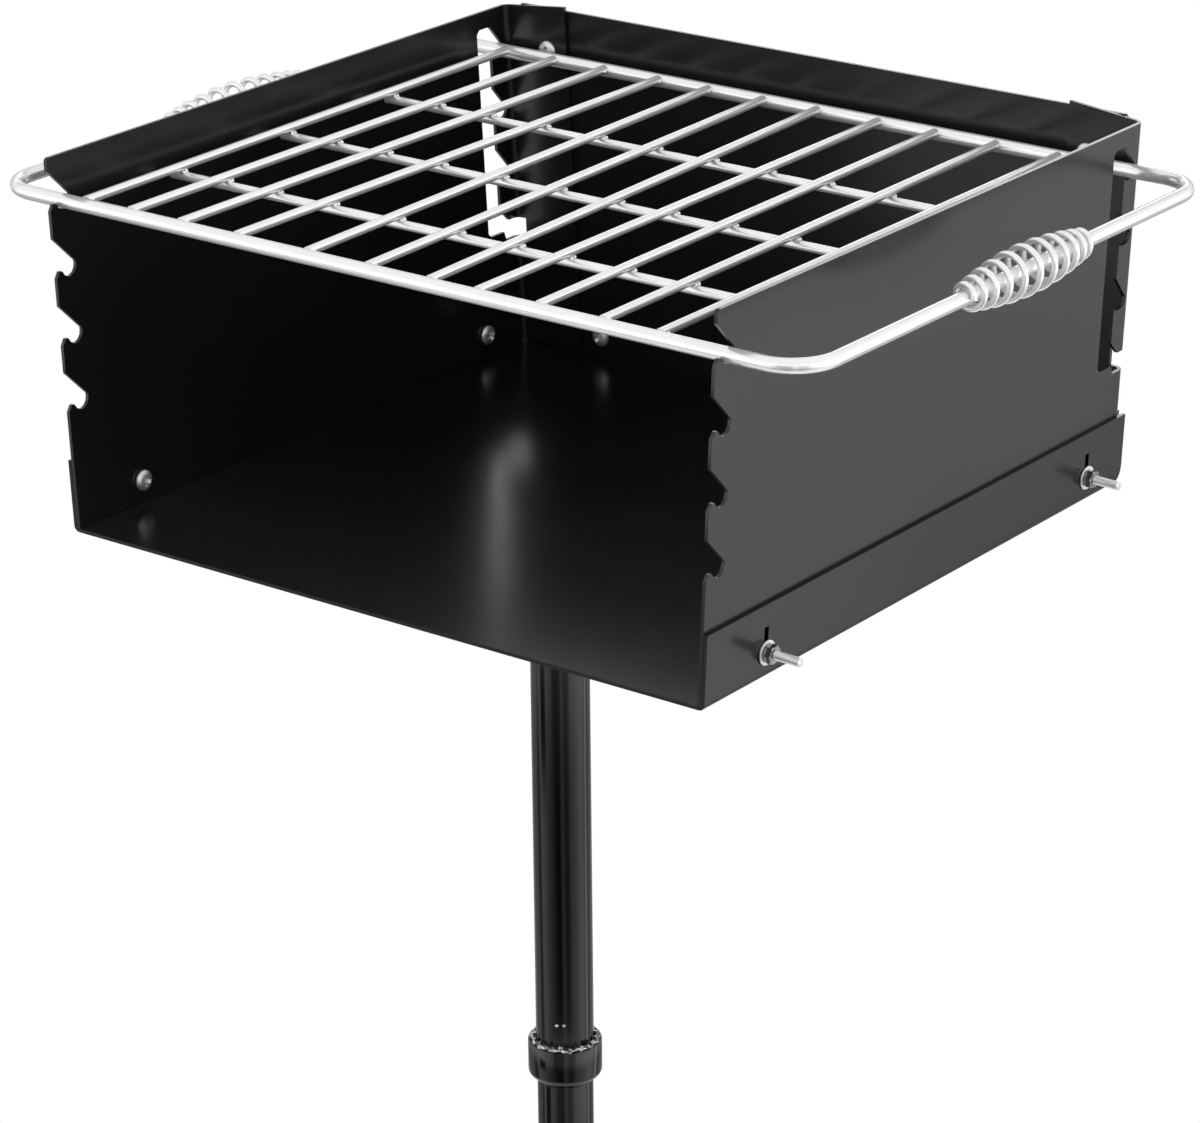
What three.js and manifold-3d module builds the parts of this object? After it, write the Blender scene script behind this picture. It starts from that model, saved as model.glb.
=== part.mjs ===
import * as THREE from 'three';
import { mergeVertices } from 'three/addons/utils/BufferGeometryUtils.js';
import Module from 'manifold-3d';

const wasm = await Module();
wasm.setup();

// A park charcoal grill on a single ground post. All lengths are in millimetres.
// X runs to the right, Y to the rear and Z up. The origin is the foot of the ground post, on its axis.

// Shared fits
const seat_gap = 0.3;
const weld_sag = 0.25;
const merge_tolerance = 1e-4;
const cut_margin = 2;

// Firebox
const box_width = 406;
const box_depth = 384;
const box_height = 204;
const post_ahead_of_middle = 39;
const pan_height_above_foot = 1066;
const side_lean_deg = 2.87;
const sheet = 2;
const pan_bend_radius = 3.5;
const skirt_height = 39.6;
const skirt_corner_radius = 10;
const rear_skirt_end_relief = 1.7;
const panel_foot_clearance = 0.3;
const panel_corner_radius = 2.5;
const flange_bend_radius = 5;
const flange_width = 45;
const flange_top_rise = 2.4;
const back_edge_inset = 9.5;
const back_rise = 1.6;
const back_corner_radius = 3;

// Grate levels: hooks on the front edges and ladder slots at the rear
const level_count = 4;
const hook_below_top = 7;
const lowest_hook_above_skirt = 48.5;
const hook_depth = 15;
const hook_roof_drop = 15;
const seat_clearance = 1.3;
const hook_seat_drop = 22;
const hook_lip_drop = 17.9;
const hook_lip_inner = 4;
const hook_lip_outer = 2.4;
const hook_mouth = 21.5;
const hook_seat_start_deg = 200;
const slot_tooth_from_rear = 16.5;
const slot_width_clearance = 4.5;
const slot_below_top = 10;
const slot_roof_run = 11.3;
const slot_roof_drop = 13;
const slot_lip_tip_drop = 17.1;
const slot_lip_run = 1.3;
const slot_lip_foot_drop = 17.9;
const slot_corner = 2.4;
const slot_bottom_above_outlet = 4.9;
const outlet_lip_from_rear = 14.6;
const outlet_seat_from_rear = 12.8;
const outlet_clearance = 3.1;
const outlet_into_flange = 8.5;

// Bolts, washers and nuts
const shank_diameter = 5;
const shank_hole_clearance = 0.4;
const shank_stand_out = 21;
const shank_end_chamfer = 0.6;
const head_diameter = 11.6;
const head_height = 3.4;
const head_edge = 0.7;
const cross_span = 5.4;
const cross_width = 1.2;
const cross_depth = 1.7;
const washer_diameter = 13;
const washer_thickness = 1.2;
const nut_across_flats = 8.8;
const nut_height = 4.2;
const nut_chamfer = 0.7;
const pan_bolt_height = 14.5;
const pan_bolt_front = 50;
const pan_bolt_from_rear = 36.5;
const back_bolt_from_side = 58;
const flange_bolt_inset = 32;
const flange_bolt_below_top = 24;
const keyhole_width = 3.6;
const keyhole_rise = 13.4;

// Cooking grate
const frame_rod = 8;
const rail_stand_off = 53;
const frame_corner_radius = 24;
const front_rod_ahead_of_seat = 0.1;
const rear_rod_ahead_of_seat = 0.5;
const bar_rod = 5;
const bar_count = 11;
const first_bar_from_side = 2.5;
const last_bar_from_side = 31.5;
const bar_front_shift_shares = [0.1, -0.06, -0.14, -0.12, 0.13, 0.19, 0.25, 0.03, 0.04, 0.07, -0.02];
const bar_rear_shift_shares = [-0.02, -0.09, -0.12, -0.1, -0.17, -0.17, -0.22, -0.12, -0.13, -0.09, -0.05];
const cross_rod_count = 3;
const cross_rod_behind_front = 78.4;
const cross_rod_ahead_of_rear = 107;
const cross_rod_overhang = 4;

// Coil handles
const coil_wire = 3.4;
const coil_length = 109;
const coil_turns = 10.5;
const coil_middle_radius = 11.7;
const coil_fullness = 0.95;
const coil_stretch_share = 0.3;
const coil_behind_middle = 6.5;
const coil_tail = 3.4;
const coil_steps_per_turn = 8;
const coil_sides = 5;

// Post, collar and their inner parts
const post_bore = 27.2;
const upper_post_wall = 2.4;
const lower_post_wall = 1.9;
const collar_wall = 4.2;
const collar_top_below_pan = 302;
const collar_height = 22;
const collar_shoulder_radius = 4;
const collar_neck_wall = 1.1;
const collar_neck_height = 1.6;
const collar_rim = 1.5;
const collar_rim_round = 0.5;
const collar_recess_depth = 3;
const collar_socket_depth = 9;
const spigot_wall = 2.2;
const spigot_up = 60;
const spigot_down = 100;
const plate_size = 112;
const plate_thickness = 4;
const plate_corner_radius = 10;
const weld_leg = 3.2;
const collar_weld_clearance = 0.5;
const weld_ripple = 0.18;
const weld_ripples = 18;

// Facets and turns
const quarter_deg = 90;
const full_deg = 360;
const nut_sides = 6;
const bend_steps = 5;
const seat_steps = 6;
const corner_steps = 6;
const bolt_sides = 16;
const rod_sides = 14;
const tube_sides = 48;
const bead_sides = 72;
const bead_profile_steps = 4;
const frame_corner_steps = 8;

// Values that follow from the ones above
const lean = THREE.MathUtils.degToRad(side_lean_deg);
const half_box = box_width / 2;
const box_front_ahead_of_post = box_depth / 2 - post_ahead_of_middle;
const shank_hole_radius = shank_diameter / 2 + shank_hole_clearance;
const panel_foot = pan_bend_radius + panel_foot_clearance;
const skirt_face = half_box + seat_gap;
const back_face = box_depth + seat_gap;
const rear_skirt_face = back_face + sheet + seat_gap;
const joint_stack = sheet + seat_gap + sheet;
const rod_radius = frame_rod / 2;
const seat_radius = rod_radius + seat_clearance;
const slot_seat_run = slot_roof_run - seat_radius;
const slot_front_from_rear = slot_tooth_from_rear + frame_rod + slot_width_clearance;
const hook_top = box_height - hook_below_top;
const level_pitch = (hook_top - skirt_height - lowest_hook_above_skirt) / (level_count - 1);
const top_seat = hook_top - hook_seat_drop;
const lowest_seat = top_seat - (level_count - 1) * level_pitch;
const slot_roof_top = top_seat + slot_roof_drop + seat_radius;
const outlet_floor = lowest_seat;
const outlet_roof = outlet_floor + frame_rod + outlet_clearance;
const slot_bottom = outlet_floor + slot_bottom_above_outlet;
const pan_bolt_rear = box_depth - pan_bolt_from_rear;
const back_bolt_x = half_box - back_bolt_from_side;
const flange_bolt_height = box_height - flange_bolt_below_top;
const grate_height = top_seat + rod_radius + seat_gap;
const front_rod_y = hook_depth - seat_radius - front_rod_ahead_of_seat;
const rear_rod_y = box_depth - slot_tooth_from_rear + slot_seat_run - rear_rod_ahead_of_seat;
const frame_half_width = half_box + rail_stand_off;
const coil_centre = (front_rod_y + rear_rod_y) / 2 + coil_behind_middle;
const first_bar_x = first_bar_from_side - half_box;
const last_bar_x = half_box - last_bar_from_side;
const bar_pitch = (last_bar_x - first_bar_x) / (bar_count - 1);
const first_cross_rod_y = front_rod_y + cross_rod_behind_front;
const last_cross_rod_y = rear_rod_y - cross_rod_ahead_of_rear;
const cross_rod_pitch = (last_cross_rod_y - first_cross_rod_y) / (cross_rod_count - 1);
const bar_height = grate_height + rod_radius - bar_rod / 2;
const cross_rod_height = bar_height - bar_rod - seat_gap;
const collar_top = pan_height_above_foot - collar_top_below_pan;
const upper_post_diameter = post_bore + upper_post_wall * 2;
const lower_post_diameter = post_bore + lower_post_wall * 2;
const spigot_diameter = post_bore - seat_gap * 2;
const collar_radius = upper_post_diameter / 2 + seat_gap + collar_wall;
const collar_recess_radius = collar_radius - collar_rim;
const upper_post_foot = collar_top - collar_socket_depth;
const lower_post_top = upper_post_foot - seat_gap;

// Finishes
function finishOf(color, roughness, metalness) {
  return (name) => new THREE.MeshStandardMaterial({ name, color, roughness, metalness });
}

const black_coat = finishOf(0x1b1b1d, 0.38, 0.3);
const bright_zinc = finishOf(0xc9cacb, 0.28, 0.95);

const grill = new THREE.Group();
grill.name = 'park_grill';

function addNode(name, geometry, finish) {
  const piece = new THREE.Mesh(geometry, finish(name));
  piece.name = name;
  grill.add(piece);
}

// Solid helpers
function tidy(geometry) {
  const bare = geometry.clone();
  for (const key of Object.keys(bare.attributes)) {
    if (key !== 'position') bare.deleteAttribute(key);
  }
  return mergeVertices(bare, merge_tolerance);
}

function toSolid(geometry) {
  const merged = tidy(geometry);
  return new wasm.Manifold(new wasm.Mesh({
    numProp: 3,
    vertProperties: new Float32Array(merged.attributes.position.array),
    triVerts: new Uint32Array(merged.index.array),
  }));
}

function fromSolid(solid) {
  const source = solid.getMesh();
  const geometry = new THREE.BufferGeometry();
  geometry.setAttribute('position', new THREE.Float32BufferAttribute(source.vertProperties, 3));
  geometry.setIndex(Array.from(source.triVerts));
  geometry.computeVertexNormals();
  return geometry;
}

function outlineShape(points) {
  return new THREE.Shape(points.map(([a, b]) => new THREE.Vector2(a, b)));
}

const along_x = new THREE.Matrix4().makeBasis(
  new THREE.Vector3(0, 1, 0), new THREE.Vector3(0, 0, 1), new THREE.Vector3(1, 0, 0));
const along_y = new THREE.Matrix4().makeBasis(
  new THREE.Vector3(0, 0, 1), new THREE.Vector3(1, 0, 0), new THREE.Vector3(0, 1, 0));

function slab(points, low, high, basis) {
  const body = new THREE.ExtrudeGeometry(outlineShape(points), { depth: high - low, bevelEnabled: false });
  body.translate(0, 0, low);
  if (basis) body.applyMatrix4(basis);
  return body;
}

// An outline in Y and Z, given a thickness along X
function plateYZ(points, low, high) {
  return slab(points, low, high, along_x);
}

// An outline in Z and X, given a thickness along Y
function plateZX(points, low, high) {
  return slab(points, low, high, along_y);
}

function arcPoints(cx, cy, radius, from, to, steps) {
  const list = [];
  for (let i = 0; i <= steps; i += 1) {
    const a = THREE.MathUtils.degToRad(from + (to - from) * i / steps);
    list.push([cx + radius * Math.cos(a), cy + radius * Math.sin(a)]);
  }
  return list;
}

// A sheet bent along a line: the line is the outer face, and the metal lies on its left
function bentSheet(line, thickness, radius) {
  const outer = [];
  const inner = [];
  const unit = (p, q) => new THREE.Vector2(q[0] - p[0], q[1] - p[1]).normalize();
  const left = (d) => new THREE.Vector2(-d.y, d.x);
  line.forEach((p, i) => {
    if (i === 0 || i === line.length - 1) {
      const n = left(i === 0 ? unit(p, line[1]) : unit(line[i - 1], p));
      outer.push([p[0], p[1]]);
      inner.push([p[0] + n.x * thickness, p[1] + n.y * thickness]);
      return;
    }
    const before = unit(line[i - 1], p);
    const after = unit(p, line[i + 1]);
    const turn = Math.acos(before.dot(after));
    const back = radius * Math.tan(turn / 2);
    const n = left(before);
    const cx = p[0] - before.x * back + n.x * radius;
    const cy = p[1] - before.y * back + n.y * radius;
    const start = Math.atan2(-n.y, -n.x);
    for (let k = 0; k <= bend_steps; k += 1) {
      const a = start + turn * k / bend_steps;
      outer.push([cx + radius * Math.cos(a), cy + radius * Math.sin(a)]);
      inner.push([cx + (radius - thickness) * Math.cos(a), cy + (radius - thickness) * Math.sin(a)]);
    }
  });
  return outer.concat(inner.reverse());
}

function roundRod(diameter, sides, from, to) {
  const length = from.distanceTo(to);
  const rod = new THREE.CylinderGeometry(diameter / 2, diameter / 2, length, sides);
  const turn = new THREE.Quaternion().setFromUnitVectors(
    new THREE.Vector3(0, 1, 0), to.clone().sub(from).normalize());
  rod.applyQuaternion(turn);
  const middle = from.clone().add(to).multiplyScalar(0.5);
  rod.translate(middle.x, middle.y, middle.z);
  return rod;
}

// A turned piece on the Z axis from radius and height pairs, closed by its last point
function turned(profile, sides) {
  const loop = profile.concat([profile[0]]).map(([r, z]) => new THREE.Vector2(r, z));
  const piece = new THREE.LatheGeometry(loop, sides);
  piece.rotateX(Math.PI / 2);
  return piece;
}

// Firebox pieces are drawn from the front lower edge of the box, then moved over the post
const box_place = new THREE.Matrix4().makeTranslation(0, -box_front_ahead_of_post, pan_height_above_foot);

function addBoxNode(name, geometry, finish) {
  geometry.applyMatrix4(box_place);
  addNode(name, geometry, finish);
}

function leanOut(side) {
  const pivot = side * half_box;
  return new THREE.Matrix4().makeTranslation(pivot, 0, 0)
    .multiply(new THREE.Matrix4().makeRotationY(side * lean))
    .multiply(new THREE.Matrix4().makeTranslation(-pivot, 0, 0));
}

// One bolt's place: a point on the inner face of the joint, and the frame its axis follows
function boltPlaces() {
  const places = [];
  for (const side of [-1, 1]) {
    const hand = side < 0 ? 'left' : 'right';
    const outward = new THREE.Matrix4().makeRotationY(side * Math.PI / 2);
    const onPanel = (y, z) => leanOut(side)
      .multiply(new THREE.Matrix4().makeTranslation(side * (half_box - sheet), y, z))
      .multiply(outward);
    const rearward = new THREE.Matrix4().makeRotationX(-Math.PI / 2);
    places.push({
      name: `${hand}_front_pan`,
      on: 'side',
      side,
      matrix: onPanel(pan_bolt_front, pan_bolt_height),
    });
    places.push({
      name: `${hand}_rear_pan`,
      on: 'side',
      side,
      matrix: onPanel(pan_bolt_rear, pan_bolt_height),
    });
    places.push({
      name: `${hand}_back_pan`,
      on: 'back',
      side,
      matrix: new THREE.Matrix4().makeTranslation(side * back_bolt_x, back_face, pan_bolt_height)
        .multiply(rearward),
    });
    places.push({
      name: `${hand}_flange`,
      on: 'flange',
      side,
      matrix: leanOut(side)
        .multiply(new THREE.Matrix4().makeTranslation(
          side * (half_box - flange_bolt_inset), box_depth - sheet, flange_bolt_height))
        .multiply(rearward),
    });
  }
  return places;
}

const bolt_places = boltPlaces();

function holeCutter(place) {
  const from = new THREE.Vector3(0, 0, -cut_margin);
  const to = new THREE.Vector3(0, 0, joint_stack + cut_margin);
  const hole = roundRod(shank_hole_radius * 2, bolt_sides, from, to);
  hole.applyMatrix4(place.matrix);
  return toSolid(hole);
}

// The keyhole above a pan bolt runs up from the bolt hole, in the outer sheet only
function keyholeCutter(place) {
  const up = place.on === 'back' ? new THREE.Vector3(0, 1, 0) : new THREE.Vector3(-place.side, 0, 0);
  const low = sheet + seat_gap / 2;
  const high = joint_stack + cut_margin;
  const tall = new THREE.BoxGeometry(
    up.x ? keyhole_rise : keyhole_width, up.y ? keyhole_rise : keyhole_width, high - low);
  const rise = keyhole_rise / 2;
  tall.translate(up.x * rise, up.y * rise, (low + high) / 2);
  tall.applyMatrix4(place.matrix);
  return toSolid(tall);
}

// Fire pan: floor with a skirt up each side and one across the rear
function buildPan() {
  const spread = skirt_height * Math.tan(lean);
  const out = skirt_face + sheet;
  const side_end = rear_skirt_face + sheet - pan_bend_radius;
  const across = bentSheet([
    [-out - spread, skirt_height],
    [-out, 0],
    [out, 0],
    [out + spread, skirt_height],
  ], sheet, pan_bend_radius).map(([x, z]) => [z, x]).reverse();
  let pan = toSolid(plateZX(across, 0, side_end));
  const rear = bentSheet([
    [side_end - pan_bend_radius, 0],
    [rear_skirt_face + sheet, 0],
    [rear_skirt_face + sheet, skirt_height],
  ], sheet, pan_bend_radius);
  const half_rear = half_box - rear_skirt_end_relief;
  pan = pan.add(toSolid(plateYZ(rear, -half_rear, half_rear)));
  for (const side of [-1, 1]) {
    const from = half_rear;
    const to = out + spread + cut_margin;
    const end = side_end + cut_margin;
    const corner = [
      [side_end - skirt_corner_radius, -cut_margin],
      [end, -cut_margin],
      [end, skirt_corner_radius],
    ].concat(arcPoints(side_end - skirt_corner_radius, skirt_corner_radius, skirt_corner_radius,
      0, -quarter_deg, corner_steps));
    pan = pan.subtract(toSolid(plateYZ(corner, side < 0 ? -to : from, side < 0 ? -from : to)));
  }
  for (const place of bolt_places) {
    if (place.on === 'flange') continue;
    pan = pan.subtract(holeCutter(place)).subtract(keyholeCutter(place));
  }
  return fromSolid(pan);
}

function hookCutter(top) {
  const seat_y = hook_depth - seat_radius;
  const seat_z = top - hook_seat_drop + seat_radius;
  const points = [
    [-cut_margin, top - hook_mouth],
    [0, top - hook_mouth],
    [hook_lip_outer, top - hook_lip_drop],
    [hook_lip_inner, top - hook_lip_drop],
  ].concat(arcPoints(seat_y, seat_z, seat_radius, hook_seat_start_deg, full_deg, seat_steps)).concat([
    [hook_depth, top - hook_roof_drop],
    [0, top],
    [-cut_margin, top],
  ]);
  return points;
}

// The ladder slot: a straight front side, a toothed rear side, and an outlet through the rear bend
function ladderOutline() {
  const front = box_depth - slot_front_from_rear;
  const tooth = box_depth - slot_tooth_from_rear;
  const slot_top = box_height - slot_below_top;
  const points = [[front + slot_corner, slot_bottom], [front, slot_bottom + slot_corner]];
  points.push([front, slot_top - slot_corner], [front + slot_corner, slot_top], [tooth, slot_top]);
  for (let level = 0; level < level_count; level += 1) {
    const top = slot_roof_top - level * level_pitch;
    points.push([tooth, top]);
    if (level === level_count - 1) {
      points.push([tooth + top - outlet_roof, outlet_roof]);
      break;
    }
    points.push([tooth + slot_roof_run, top - slot_roof_drop]);
    const seat_z = top - slot_roof_drop;
    points.push(...arcPoints(tooth + slot_seat_run, seat_z, seat_radius,
      0, -quarter_deg, seat_steps).slice(1));
    points.push([tooth + slot_lip_run, seat_z - seat_radius]);
    points.push([tooth + slot_lip_run, top - slot_lip_tip_drop], [tooth, top - slot_lip_foot_drop]);
  }
  points.push([box_depth + cut_margin, outlet_roof], [box_depth + cut_margin, outlet_floor]);
  points.push([box_depth - outlet_seat_from_rear, outlet_floor]);
  points.push([box_depth - outlet_lip_from_rear, slot_bottom]);
  return points;
}

// A side panel with its rear flange, drawn upright and then leaned outward.
// The flange's top edge climbs a little towards its free end
function buildSidePanel(side) {
  const flat = [[0, panel_foot], [box_depth - flange_bend_radius, panel_foot]];
  flat.push([box_depth - flange_bend_radius, box_height]);
  flat.push(...arcPoints(panel_corner_radius, box_height - panel_corner_radius, panel_corner_radius,
    quarter_deg, 2 * quarter_deg, corner_steps));
  const inner = half_box - sheet;
  let panel = toSolid(plateYZ(flat, side < 0 ? -half_box : inner, side < 0 ? -inner : half_box));
  const bend = bentSheet([
    [half_box, box_depth - flange_bend_radius * 2],
    [half_box, box_depth],
    [half_box - flange_width, box_depth],
  ], sheet, flange_bend_radius);
  const bend_points = side < 0 ? bend.map(([x, y]) => [-x, y]).reverse() : bend;
  const tall = box_height + flange_top_rise;
  const over = tall + cut_margin;
  const slope = [[box_height, side * (half_box + cut_margin)], [box_height, side * inner],
    [tall, side * (half_box - flange_width)], [over, side * (half_box - flange_width)],
    [over, side * (half_box + cut_margin)]];
  const flange = toSolid(slab(bend_points, panel_foot, tall))
    .subtract(toSolid(plateZX(slope, 0, box_depth + cut_margin)));
  panel = panel.add(flange);
  const reach = half_box + cut_margin;
  const low = side < 0 ? -reach : half_box - outlet_into_flange;
  const high = side < 0 ? outlet_into_flange - half_box : reach;
  for (let level = 0; level < level_count; level += 1) {
    panel = panel.subtract(toSolid(plateYZ(hookCutter(hook_top - level * level_pitch), low, high)));
  }
  panel = panel.subtract(toSolid(plateYZ(ladderOutline().reverse(), low, high)));
  let geometry = fromSolid(panel);
  geometry.applyMatrix4(leanOut(side));
  panel = toSolid(geometry);
  for (const place of bolt_places) {
    if (place.side === side && place.on !== 'back') panel = panel.subtract(holeCutter(place));
  }
  geometry = fromSolid(panel);
  return geometry;
}

function buildBackPanel() {
  const foot_half = half_box - back_edge_inset;
  const top = box_height + back_rise;
  const top_half = foot_half + top * Math.tan(lean);
  const points = [[panel_foot, -foot_half], [top - back_corner_radius, -top_half],
    [top, back_corner_radius - top_half], [top, top_half - back_corner_radius],
    [top - back_corner_radius, top_half], [panel_foot, foot_half]];
  let panel = toSolid(plateZX(points.reverse(), back_face, back_face + sheet));
  for (const place of bolt_places) {
    if (place.on !== 'side') panel = panel.subtract(holeCutter(place));
  }
  return fromSolid(panel);
}

addBoxNode('fire_pan', buildPan(), black_coat);
addBoxNode('left_side_panel', buildSidePanel(-1), black_coat);
addBoxNode('right_side_panel', buildSidePanel(1), black_coat);
addBoxNode('back_panel', buildBackPanel(), black_coat);

// Bolts stand on the inner face, at height zero, with their shanks along plus Z
function buildBolt() {
  const face = -seat_gap;
  const r = shank_diameter / 2;
  const tip = joint_stack + shank_stand_out;
  const head_radius = head_diameter / 2;
  const profile = [[0, face - head_height]];
  const dome = head_height - head_edge;
  for (let i = 1; i <= bend_steps; i += 1) {
    const a = Math.PI / 2 * i / bend_steps;
    profile.push([head_radius * Math.sin(a), face - head_edge - dome * Math.cos(a)]);
  }
  profile.push([head_radius, face], [r, face]);
  profile.push([r, tip - shank_end_chamfer], [r - shank_end_chamfer, tip], [0, tip]);
  const bolt = new THREE.LatheGeometry(profile.map(([a, z]) => new THREE.Vector2(a, z)), bolt_sides);
  bolt.rotateX(Math.PI / 2);
  let solid = toSolid(bolt);
  const low = face - head_height - cut_margin;
  const high = face - head_height + cross_depth;
  for (const [wide, deep] of [[cross_span, cross_width], [cross_width, cross_span]]) {
    const blade = new THREE.BoxGeometry(wide, deep, high - low);
    blade.translate(0, 0, (low + high) / 2);
    solid = solid.subtract(toSolid(blade));
  }
  return fromSolid(solid);
}

function buildWasher() {
  const low = joint_stack + seat_gap;
  const high = low + washer_thickness;
  const bore = shank_hole_radius;
  const rim = washer_diameter / 2;
  return turned([[bore, low], [rim, low], [rim, high], [bore, high]], bolt_sides);
}

function buildNut() {
  const low = joint_stack + seat_gap + washer_thickness + seat_gap;
  const high = low + nut_height;
  const corner = nut_across_flats / 2 / Math.cos(Math.PI / nut_sides);
  const flat = nut_across_flats / 2;
  const hex = new THREE.CylinderGeometry(corner, corner, nut_height, nut_sides);
  hex.rotateX(Math.PI / 2);
  hex.translate(0, 0, (low + high) / 2);
  const bore = shank_hole_radius;
  const over = corner + cut_margin;
  const shell = turned([[bore, low - cut_margin / 2], [flat, low - cut_margin / 2], [flat, low],
    [over, low + nut_chamfer + cut_margin / 2], [over, high - nut_chamfer - cut_margin / 2], [flat, high],
    [flat, high + cut_margin / 2], [bore, high + cut_margin / 2]], bolt_sides);
  return fromSolid(toSolid(hex).intersect(toSolid(shell)));
}

for (const place of bolt_places) {
  for (const [kind, build] of [['bolt', buildBolt], ['washer', buildWasher], ['nut', buildNut]]) {
    const piece = build();
    piece.applyMatrix4(place.matrix);
    addBoxNode(`${place.name}_${kind}`, piece, bright_zinc);
  }
}

// Grate frame: one closed loop of rod, wider than the firebox
function buildFrame() {
  const r = frame_corner_radius;
  const corners = [
    [frame_half_width - r, front_rod_y + r, -quarter_deg],
    [frame_half_width - r, rear_rod_y - r, 0],
    [r - frame_half_width, rear_rod_y - r, quarter_deg],
    [r - frame_half_width, front_rod_y + r, 2 * quarter_deg],
  ];
  const points = [];
  for (const [cx, cy, from] of corners) {
    points.push(...arcPoints(cx, cy, r, from, from + quarter_deg, frame_corner_steps));
  }
  const line = points.map(([x, y]) => new THREE.Vector3(x, y, grate_height));
  const rings = [];
  line.forEach((p, i) => {
    const before = line[(i + line.length - 1) % line.length];
    const after = line[(i + 1) % line.length];
    const along = after.clone().sub(before).normalize();
    const side = new THREE.Vector3(along.y, -along.x, 0);
    for (let k = 0; k < rod_sides; k += 1) {
      const a = 2 * Math.PI * k / rod_sides;
      rings.push(p.x + side.x * rod_radius * Math.cos(a));
      rings.push(p.y + side.y * rod_radius * Math.cos(a));
      rings.push(p.z + rod_radius * Math.sin(a));
    }
  });
  const faces = [];
  for (let i = 0; i < line.length; i += 1) {
    const j = (i + 1) % line.length;
    for (let k = 0; k < rod_sides; k += 1) {
      const m = (k + 1) % rod_sides;
      faces.push(i * rod_sides + k, j * rod_sides + k, i * rod_sides + m);
      faces.push(j * rod_sides + k, j * rod_sides + m, i * rod_sides + m);
    }
  }
  const geometry = new THREE.BufferGeometry();
  geometry.setAttribute('position', new THREE.Float32BufferAttribute(rings, 3));
  geometry.setIndex(faces);
  geometry.computeVertexNormals();
  return geometry;
}

addBoxNode('grate_frame', buildFrame(), bright_zinc);

const bar_front_y = front_rod_y + rod_radius + seat_gap;
const bar_rear_y = rear_rod_y - rod_radius - seat_gap;
for (let i = 0; i < bar_count; i += 1) {
  const x = first_bar_x + i * bar_pitch;
  const from = new THREE.Vector3(x + bar_front_shift_shares[i] * bar_pitch, bar_front_y, bar_height);
  const to = new THREE.Vector3(x + bar_rear_shift_shares[i] * bar_pitch, bar_rear_y, bar_height);
  addBoxNode(`grate_bar_${i + 1}`, roundRod(bar_rod, rod_sides, from, to), bright_zinc);
}

['front', 'middle', 'rear'].forEach((name, i) => {
  const y = first_cross_rod_y + i * cross_rod_pitch;
  const from = new THREE.Vector3(first_bar_x - cross_rod_overhang, y, cross_rod_height);
  const to = new THREE.Vector3(last_bar_x + cross_rod_overhang, y, cross_rod_height);
  addBoxNode(`${name}_cross_rod`, roundRod(bar_rod, rod_sides, from, to), bright_zinc);
});

// Coil handle: an open barrel of one wire wound around the rail, slim and closer wound at both ends
class BarrelCoil extends THREE.Curve {
  getPoint(t, target = new THREE.Vector3()) {
    const slim = rod_radius + seat_gap + coil_wire / 2;
    const full_turn = 2 * Math.PI;
    const along = t - coil_stretch_share * Math.sin(full_turn * t) / full_turn;
    const swell = Math.sin(Math.PI * along) ** coil_fullness;
    const radius = slim + (coil_middle_radius - slim) * swell;
    const a = full_turn * coil_turns * t;
    return target.set(radius * Math.cos(a), coil_length * (along - 0.5), radius * Math.sin(a));
  }
}

function coilPoints() {
  const coil = new BarrelCoil();
  const steps = coil_turns * coil_steps_per_turn;
  const points = coil.getPoints(steps);
  const first = points[0].clone().sub(points[1]).normalize().multiplyScalar(coil_tail);
  const last = points[steps].clone().sub(points[steps - 1]).normalize().multiplyScalar(coil_tail);
  points.unshift(points[0].clone().add(first));
  points.push(points[points.length - 1].clone().add(last));
  return points;
}

function sweepWire(points) {
  const positions = [];
  const faces = [];
  let across = new THREE.Vector3(0, 1, 0);
  points.forEach((p, i) => {
    const before = points[Math.max(i - 1, 0)];
    const after = points[Math.min(i + 1, points.length - 1)];
    const along = after.clone().sub(before).normalize();
    across = across.sub(along.clone().multiplyScalar(across.dot(along))).normalize();
    const third = along.clone().cross(across);
    for (let k = 0; k < coil_sides; k += 1) {
      const a = 2 * Math.PI * k / coil_sides;
      const q = p.clone().addScaledVector(across, coil_wire / 2 * Math.cos(a))
        .addScaledVector(third, coil_wire / 2 * Math.sin(a));
      positions.push(q.x, q.y, q.z);
    }
  });
  for (let i = 0; i < points.length - 1; i += 1) {
    for (let k = 0; k < coil_sides; k += 1) {
      const m = (k + 1) % coil_sides;
      const low = i * coil_sides;
      const high = low + coil_sides;
      faces.push(low + k, low + m, high + k, high + k, low + m, high + m);
    }
  }
  const end = (points.length - 1) * coil_sides;
  for (let k = 1; k < coil_sides - 1; k += 1) {
    faces.push(0, k + 1, k, end, end + k, end + k + 1);
  }
  const geometry = new THREE.BufferGeometry();
  geometry.setAttribute('position', new THREE.Float32BufferAttribute(positions, 3));
  geometry.setIndex(faces);
  geometry.computeVertexNormals();
  return geometry;
}

// Least clear space between one curl and the next, and between the wire and the rail
function coilClearance(points) {
  let self = Infinity;
  let rail = Infinity;
  for (let i = 0; i < points.length; i += 1) {
    rail = Math.min(rail, Math.hypot(points[i].x, points[i].z) - coil_wire / 2 - rod_radius);
    for (let j = i + coil_steps_per_turn / 2; j < points.length; j += 1) {
      self = Math.min(self, points[i].distanceTo(points[j]) - coil_wire);
    }
  }
  return { self, rail };
}

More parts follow.
